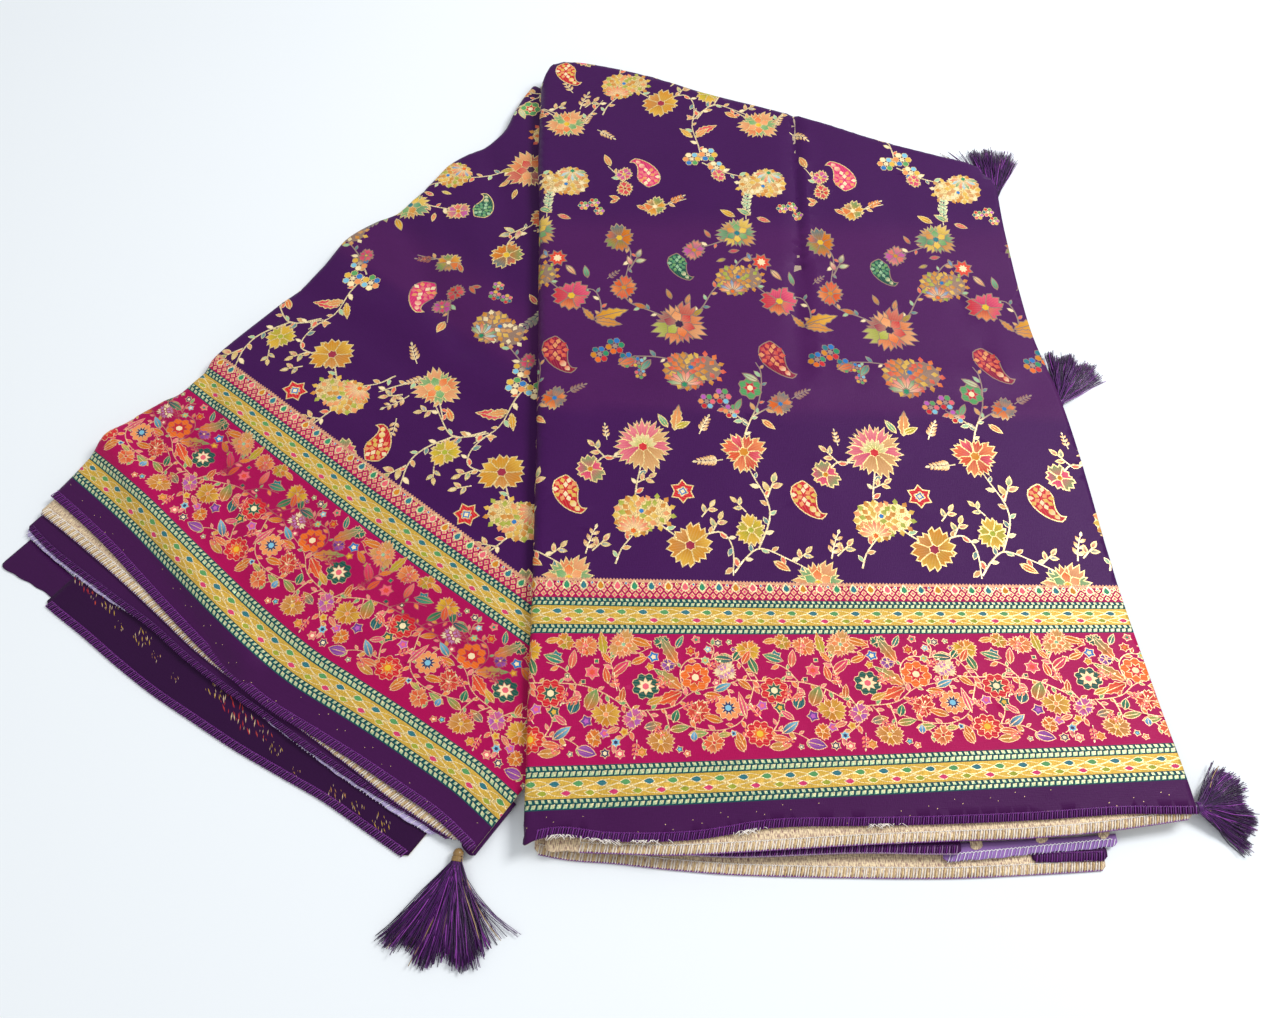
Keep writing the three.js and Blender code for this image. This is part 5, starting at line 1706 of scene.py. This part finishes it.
along_place = np.arange(16.0, FAN_LENGTH - 5, 4.0)
fan_left_side = fan_inward(along_place) + 2.6 + 1j * along_place
fan_right_side = fan_inner_end(along_place) - 3 + 1j * along_place
fan_ring_flat = np.concatenate([fan_left_side[:1], fan_right_side, fan_left_side[::-1][:-1]])
fan_ring_place = fan_place(fan_ring_flat.real, fan_ring_flat.imag, 0.0)
add_stack("fan_inner_plies", fan_ring_place[:, 0] + 1j * fan_ring_place[:, 1], 0.1, 4.9, 4, [],
          lambda x, y: level(4.9)(x))
print("inner plies placed")

# %% [markdown]
# ## Sewing
# The cut edges are overlocked: short threads go over the edge, a millimetre and a half apart, and a looper
# thread holds their inner ends. Each thread is a thin tube, and each edge's threads are one mesh.

# %% Tubes along many paths at once
def tubes(paths, side, radius, sides=4):
    """paths is (number, points, 3). Each ring of a tube stands across its path, spanned by side, a unit
    vector for each path, and by the product of the path's direction and side."""
    count, rings = paths.shape[:2]
    way = np.gradient(paths, axis=1)
    way /= np.maximum(np.linalg.norm(way, axis=2, keepdims=True), 1e-9)
    first = np.broadcast_to(side[:, None, :], paths.shape)
    second = np.cross(way, first)
    second /= np.maximum(np.linalg.norm(second, axis=2, keepdims=True), 1e-9)
    angle = np.arange(sides) * 2 * np.pi / sides
    ring = first[:, :, None] * np.cos(angle)[:, None] + second[:, :, None] * np.sin(angle)[:, None]
    radius = np.broadcast_to(radius, (count, rings))[:, :, None, None]
    points = (paths[:, :, None] + ring * radius).reshape(-1, 3)
    number = np.arange(count * rings * sides).reshape(count, rings, sides)
    after = np.roll(number, -1, axis=2)
    walls = quads(number[:, :-1], number[:, 1:], after[:, 1:], after[:, :-1])
    first_ring, last_ring = number[:, 0], number[:, -1]
    caps = [first_ring[:, [0, k, k + 1]] for k in range(1, sides - 1)]
    caps += [last_ring[:, [0, k + 1, k]] for k in range(1, sides - 1)]
    return points, np.concatenate([walls, *caps])


def joined(pieces):
    """Several (points, triangles, colour) as one."""
    shift = np.cumsum([0, *[len(points) for points, _, _ in pieces]])
    points = np.concatenate([points for points, _, _ in pieces])
    triangles = np.concatenate([triangles + start for (_, triangles, _), start in zip(pieces, shift)])
    dyes = [np.broadcast_to([*colour, 0.0], (len(triangles), 3, 4)) for _, triangles, colour in pieces]
    return points, triangles, np.concatenate(dyes)


def add_threads(name, pieces, nodes, count):
    """Makes one object of many tubes, and prints its size."""
    points, triangles, dyes = joined(pieces)
    add_mesh(name, points, triangles, "tassel_thread", nodes, None, None, dyes)
    print(f"{name}: {count}, {len(triangles)} triangles")


UPWARDS = np.array([[0.0, 0.0, 1.0]])
# One thread's way over an edge: its share of the stitch's depth, and its height over the cloth's upper side,
# or, where it is under the cloth, its height in walls of the cloth.
STITCH_ABOVE = ((1.0, 0.1), (0.72, 0.3), (0.25, 0.34), (-0.02, 0.2))
STITCH_BELOW = ((-0.07, -0.55), (0.1, -1.1))
SLANT = 0.8


def overlock(name, place, ends, edge, top, wall, depth, colours, seed, step=1.3, radius=0.33, hem=None):
    """Threads over an edge: from depth inside the edge, out over it and round to the underside. top is the
    height of the cloth's upper side, and the colours take turns. hem is the dye of a cord along the edge."""
    rng = np.random.default_rng(seed)
    across = np.arange(ends[0] + 0.8, ends[1] - 0.8, step)
    across = across + rng.uniform(-0.15, 0.15, len(across)) * step
    inside = depth * (1 + rng.uniform(-0.14, 0.1, len(across)))
    rows = []
    for share, height in (*STITCH_ABOVE, *[(share, walls * (wall + 0.25)) for share, walls in STITCH_BELOW]):
        x = across + SLANT * share * step
        rows.append(place(x, edge(x) + inside * share, np.maximum(top(x) + height, 0.3)))
    paths = np.stack(rows, 1)
    before, after = (place(x, edge(x), 0 * x) for x in (across - 0.5, across + 0.5))
    side = (after - before) / np.linalg.norm(after - before, axis=1, keepdims=True)
    pieces = []
    for turn, colour in enumerate(colours):
        chosen = slice(turn, None, len(colours))
        pieces.append((*tubes(paths[chosen], side[chosen], radius), colour))
    chain_x = np.arange(ends[0] + 1, ends[1] - 1, 0.55)
    wave = np.sin(chain_x / step * 2 * np.pi)
    chain = place(chain_x, edge(chain_x) + depth * 0.97 + 0.35 * wave, top(chain_x) + 0.3)[None]
    pieces.append((*tubes(chain, UPWARDS, 0.24), colours[0]))
    if hem is not None:
        line = place(chain_x, edge(chain_x) - 0.15 + 0.12 * wave, np.maximum(top(chain_x) - 0.25, 0.5))[None]
        pieces.append((*tubes(line, UPWARDS, 0.42), hem))
    add_threads(name, pieces, (), f"{len(across)} stitches")


# %% The panel's near edge: its overlock, and loose ends of weft below it
THREAD_PURPLE, THREAD_VIOLET = dye(118, 38, 136), dye(84, 22, 100)
THREAD_CREAM, THREAD_WHITE, THREAD_GOLD = dye(246, 238, 228), dye(250, 246, 250), dye(214, 184, 130)
PURPLE_THREADS = (THREAD_PURPLE, THREAD_VIOLET)
GOLD_THREADS = (THREAD_CREAM, THREAD_CREAM, THREAD_GOLD)
BLOUSE_THREADS = (THREAD_WHITE, LAVENDER)


def on_panel(s, t, height):
    """A place on the panel's own surface, at a height over it."""
    return panel_surface(s, t) + np.stack([0 * height, 0 * height, height], -1)


overlock("panel_top_stitches", on_panel, (6.5, 351.5), panel_near_t, level(0.0), 0.7, 4.6, PURPLE_THREADS, 11)
rng = np.random.default_rng(5)
tuft_x = np.concatenate([rng.normal(centre, 5, 26) for centre in (22, 44, 63, 118, 187)])
share = np.linspace(0, 1, 5)[None]
length = rng.uniform(1.5, 5.5, len(tuft_x))[:, None]
spot = tuft_x[:, None] + length * share * np.cos(rng.uniform(0.2, 2.9, len(tuft_x)))[:, None]
tuft = panel_surface(spot, panel_near_t(spot) + 0.8 - length * share * 0.55)
tuft[..., 2] = np.maximum(tuft[..., 2] + 1.1 + 0.9 * np.sin(3 * share), 0.3)
weft_ends = tubes(tuft, np.repeat(UPWARDS, len(tuft_x), 0), 0.16)
add_threads("panel_frayed_tufts", [(*weft_ends, THREAD_CREAM)], (), f"{len(tuft_x)} weft ends")

# %% The other overlocked edges
def fan_top_height(across):
    return fan_top(across, fan_edges["top"](across)) + 0.02


overlock("fan_top_stitches", fan_place, (3, 352), fan_edges["top"], fan_top_height, 0.7, 4.6,
         PURPLE_THREADS, 2)
overlock("fan_gold_stitches", fan_place, (7, 341), fan_edges["gold"], level(4.95), 1.0, 5.0, GOLD_THREADS, 3,
         step=1.45, hem=THREAD_VIOLET)
overlock("fan_purple_stitches", fan_place, (9, 337), fan_edges["purple"], level(3.65), 1.0, 3.4,
         (THREAD_VIOLET, THREAD_VIOLET, THREAD_PURPLE), 4, radius=0.26)
overlock("blouse_left_stitches", fan_place, (9, 329), fan_edges["lavender"], level(2.35), 1.0, 4.2,
         BLOUSE_THREADS, 5, step=2.1, radius=0.24)
overlock("fan_lowest_stitches", fan_place, (57, 325), fan_edges["lowest"], level(1.0), 0.7, 4.2,
         PURPLE_THREADS, 6)
overlock("panel_second_stitches", panel_place, (-4, 318), panel_edges["second"],
         lambda x: second_under(x) + 1.1, 1.1, 4.8, GOLD_THREADS, 7, step=1.45, hem=THREAD_PURPLE)
overlock("panel_third_stitches", panel_place, (-13, 195), panel_edges["third"],
         lambda x: third_under(x) + 1.1, 1.1, 4.2, (THREAD_VIOLET, THREAD_PURPLE, dye(150, 110, 160)), 8,
         hem=dye(160, 136, 160))
overlock("panel_fourth_stitches", panel_place, (-26, 271), panel_edges["fourth"], level(1.1), 0.8, 5.2,
         GOLD_THREADS, 9, step=1.45, hem=THREAD_PURPLE)
overlock("panel_end_stitches", panel_place, (235, 272.5), end_edge, level(2.3), 1.0, 4.4, PURPLE_THREADS, 12)
overlock("blouse_right_stitches", panel_place, (188, 278.5), blouse_edge, level(3.6), 1.0, 3.8,
         BLOUSE_THREADS, 10, step=2.1, radius=0.24)

# %% [markdown]
# ## Tassels
# The end of the cloth has tassels of glossy thread. All threads of one tassel leave a small bound head and
# spread over the surface. Each is a tube with three sides, and no two have the same length or bend.

# %% Thread tassels
DARK, PLUM, BRIGHT = dye(44, 6, 60), dye(80, 14, 100), dye(150, 60, 170)
TASSEL_MIX = [(DARK, 0.46), (PLUM, 0.44), (BRIGHT, 0.085), (dye(170, 140, 96), 0.015)]
WRAP_TURNS, HEAD_RADIUS = 5, 2.85


def tassel(name, root, first, last, reach, count, seed, wrap, strays, lean=1, head=DARK):
    """count threads from the root: heading between first and last degrees, falling to the surface. The last
    ones, as many as strays, bend far to the side that lean gives. A coil of wrap binds the neck."""
    rng = np.random.default_rng(seed)
    share = np.linspace(0, 1, 8)[None, :]
    place = np.clip(np.linspace(0, 1, count) + rng.normal(0, 0.035, count), 0, 1)
    heading = np.radians(mix(first, last, place))
    length = reach * (0.93 + 0.07 * np.sin(place * 17 + seed)) * rng.uniform(0.9, 1.02, count)
    bend = rng.normal(0, 0.045, count) * length
    loose = np.arange(count) >= count - strays
    bend = np.where(loose, lean * length * rng.uniform(0.1, 0.45, count), bend)
    way = np.stack([np.cos(heading), np.sin(heading)], -1)
    across = np.stack([-np.sin(heading), np.cos(heading)], -1)
    middle = math.radians((first + last) / 2)
    middle_way = np.array([math.cos(middle), math.sin(middle), 0.0])
    bundle = rng.uniform(-1, 1, (count, 2))
    flat = np.array(root[:2]) + 5.5 * middle_way[:2] * smooth(share * 5)[..., None] * 0.55
    run = length[:, None] * share
    flat = flat + way[:, None] * (run * smooth(share * 2.2 + 0.12))[..., None]
    wiggle = bend[:, None] * share**2 + 0.5 * np.sin(share * 7 + rng.uniform(0, 6, (count, 1)))
    flat = flat + across[:, None] * (wiggle * smooth(share * 3))[..., None]
    flat = flat + across[:, None] * (bundle[:, :1] * 1.7 * (1 - 0.4 * share))[..., None]
    rest = rng.uniform(0.35, 3.2, count)
    fall = smooth(run / 24)
    lying = rest[:, None] + 0.5 * np.sin(share * 5 + place[:, None] * 40)
    z = mix(root[2] + bundle[:, 1:] * 1.7, lying, fall)
    paths = np.concatenate([flat, np.maximum(z, 0.3)[..., None]], -1)
    side = np.concatenate([across, np.zeros((count, 1))], -1)
    thickness = np.linspace(0.34, 0.22, 8)[None, :] * rng.uniform(0.8, 1.2, (count, 1))
    shuffled = np.argsort(np.sin(np.arange(count) * 12.9898))
    pieces = []
    done = 0.0
    for colour, part in TASSEL_MIX:
        order = shuffled[int(count * done):int(count * (done + part))]
        done += part
        pieces.append((*tubes(paths[order], side[order], thickness[order], 3), colour))
    turn = np.linspace(0, 2 * np.pi * WRAP_TURNS, 90)[:, None]
    centre = np.array(root) + (middle_way - (0, 0, 0.1)) * (1.8 + 2.2 * turn / turn[-1])
    beside = np.array([-middle_way[1], middle_way[0], 0.0])
    coil = centre + beside * 2.75 * np.cos(turn) + UPWARDS * 2.4 * np.sin(turn)
    coil[:, 2] = np.maximum(coil[:, 2], 0.4)
    pieces.append((*tubes(coil[None], middle_way[None], 0.42), wrap))
    turn = np.linspace(-0.5 * np.pi, 0.5 * np.pi, 9)[:, None]
    knot_angle = np.linspace(0, 2 * np.pi, 24, endpoint=False)[None, :]
    belly = np.cos(turn) * (1 + 0.06 * np.sin(knot_angle * 6 + turn * 5))
    knot = [belly * np.cos(knot_angle), belly * np.sin(knot_angle), np.sin(turn) + 0 * knot_angle]
    knot = np.stack(knot, -1) * HEAD_RADIUS + np.array(root)
    rings, around = knot.shape[:2]
    number = np.arange(rings * around).reshape(rings, around)
    after = np.roll(number, -1, axis=1)
    faces = quads(number[:-1], after[:-1], after[1:], number[1:])
    pieces.append((knot.reshape(-1, 3), faces, head))
    add_threads(name + "_threads", pieces, [name], f"{count} threads")


tassel("tassel_1", (-66.5, -271.6, 3.4), 227, 294, 53.7, 620, 1, dye(150, 118, 70), 14,
       head=dye(140, 108, 62))
tassel("tassel_2", (322.3, -249, 7.3), -46, 57, 33.2, 480, 2, PLUM, 22, lean=-1)
tassel("tassel_3", (301.2, 8, 5.2), 33, 86, 45, 440, 3, PLUM, 10)
tassel("tassel_4", (289.4, 187, 5.2), 62, 99, 57, 440, 4, PLUM, 10)

# %% [markdown]
# ## The stage
# A plain pale floor, an even soft light from all round, and a broad lamp on the right, so that the creases
# and the folds' edges show. The camera stands in front of the sari and looks down on it.

# %% Floor, light and camera
FLOOR_COLOUR = (0.86, 0.90, 0.93, 1.0)
SKY_COLOUR, SKY_STRENGTH = (0.96, 0.98, 1.0, 1.0), 0.6
KEY_PLACE, KEY_SIZE, KEY_POWER = (1.15, 0.45, 1.35), 0.6, 24
FILL_PLACE, FILL_SIZE, FILL_POWER = (-0.9, -0.9, 1.7), 1.6, 4
LENS, SENSOR_WIDTH = 28.125, 36.0
CAMERA_PLACE, CAMERA_TILT = (0.0285, -0.358, 0.55), 28
floor_mesh = bpy.data.meshes.new("floor")
floor_mesh.from_pydata([(-6, -4, 0), (6, -4, 0), (6, 9, 0), (-6, 9, 0)], [], [(0, 1, 2, 3)])
floor = bpy.data.objects.new("floor", floor_mesh)
bpy.context.scene.collection.objects.link(floor)
paper = new_material("paper")
feed(paper, Base_Color=FLOOR_COLOUR, Roughness=0.9)
floor.data.materials.append(paper)

world = bpy.data.worlds.new("studio")
world.use_nodes = True
sky = world.node_tree.nodes["Background"].inputs
sky["Color"].default_value = SKY_COLOUR
sky["Strength"].default_value = SKY_STRENGTH
bpy.context.scene.world = world


def area_lamp(name, place, size, power):
    """A square lamp that points at the origin."""
    lamp = bpy.data.lights.new(name, "AREA")
    lamp.size, lamp.energy = size, power
    obj = bpy.data.objects.new(name, lamp)
    obj.location = place
    obj.rotation_euler = (-Vector(place)).to_track_quat("-Z", "Y").to_euler()
    bpy.context.scene.collection.objects.link(obj)
    return obj


key = area_lamp("key", KEY_PLACE, KEY_SIZE, KEY_POWER)
fill = area_lamp("fill", FILL_PLACE, FILL_SIZE, FILL_POWER)

camera_data = bpy.data.cameras.new("camera")
camera_data.lens = LENS
camera_data.sensor_width = SENSOR_WIDTH
camera = bpy.data.objects.new("camera", camera_data)
camera.location = CAMERA_PLACE
camera.rotation_euler = (math.radians(CAMERA_TILT), 0, 0)
bpy.context.scene.collection.objects.link(camera)
bpy.context.scene.camera = camera
bpy.context.scene.view_settings.view_transform = "Standard"
print("camera lens:", camera_data.lens, "mm")
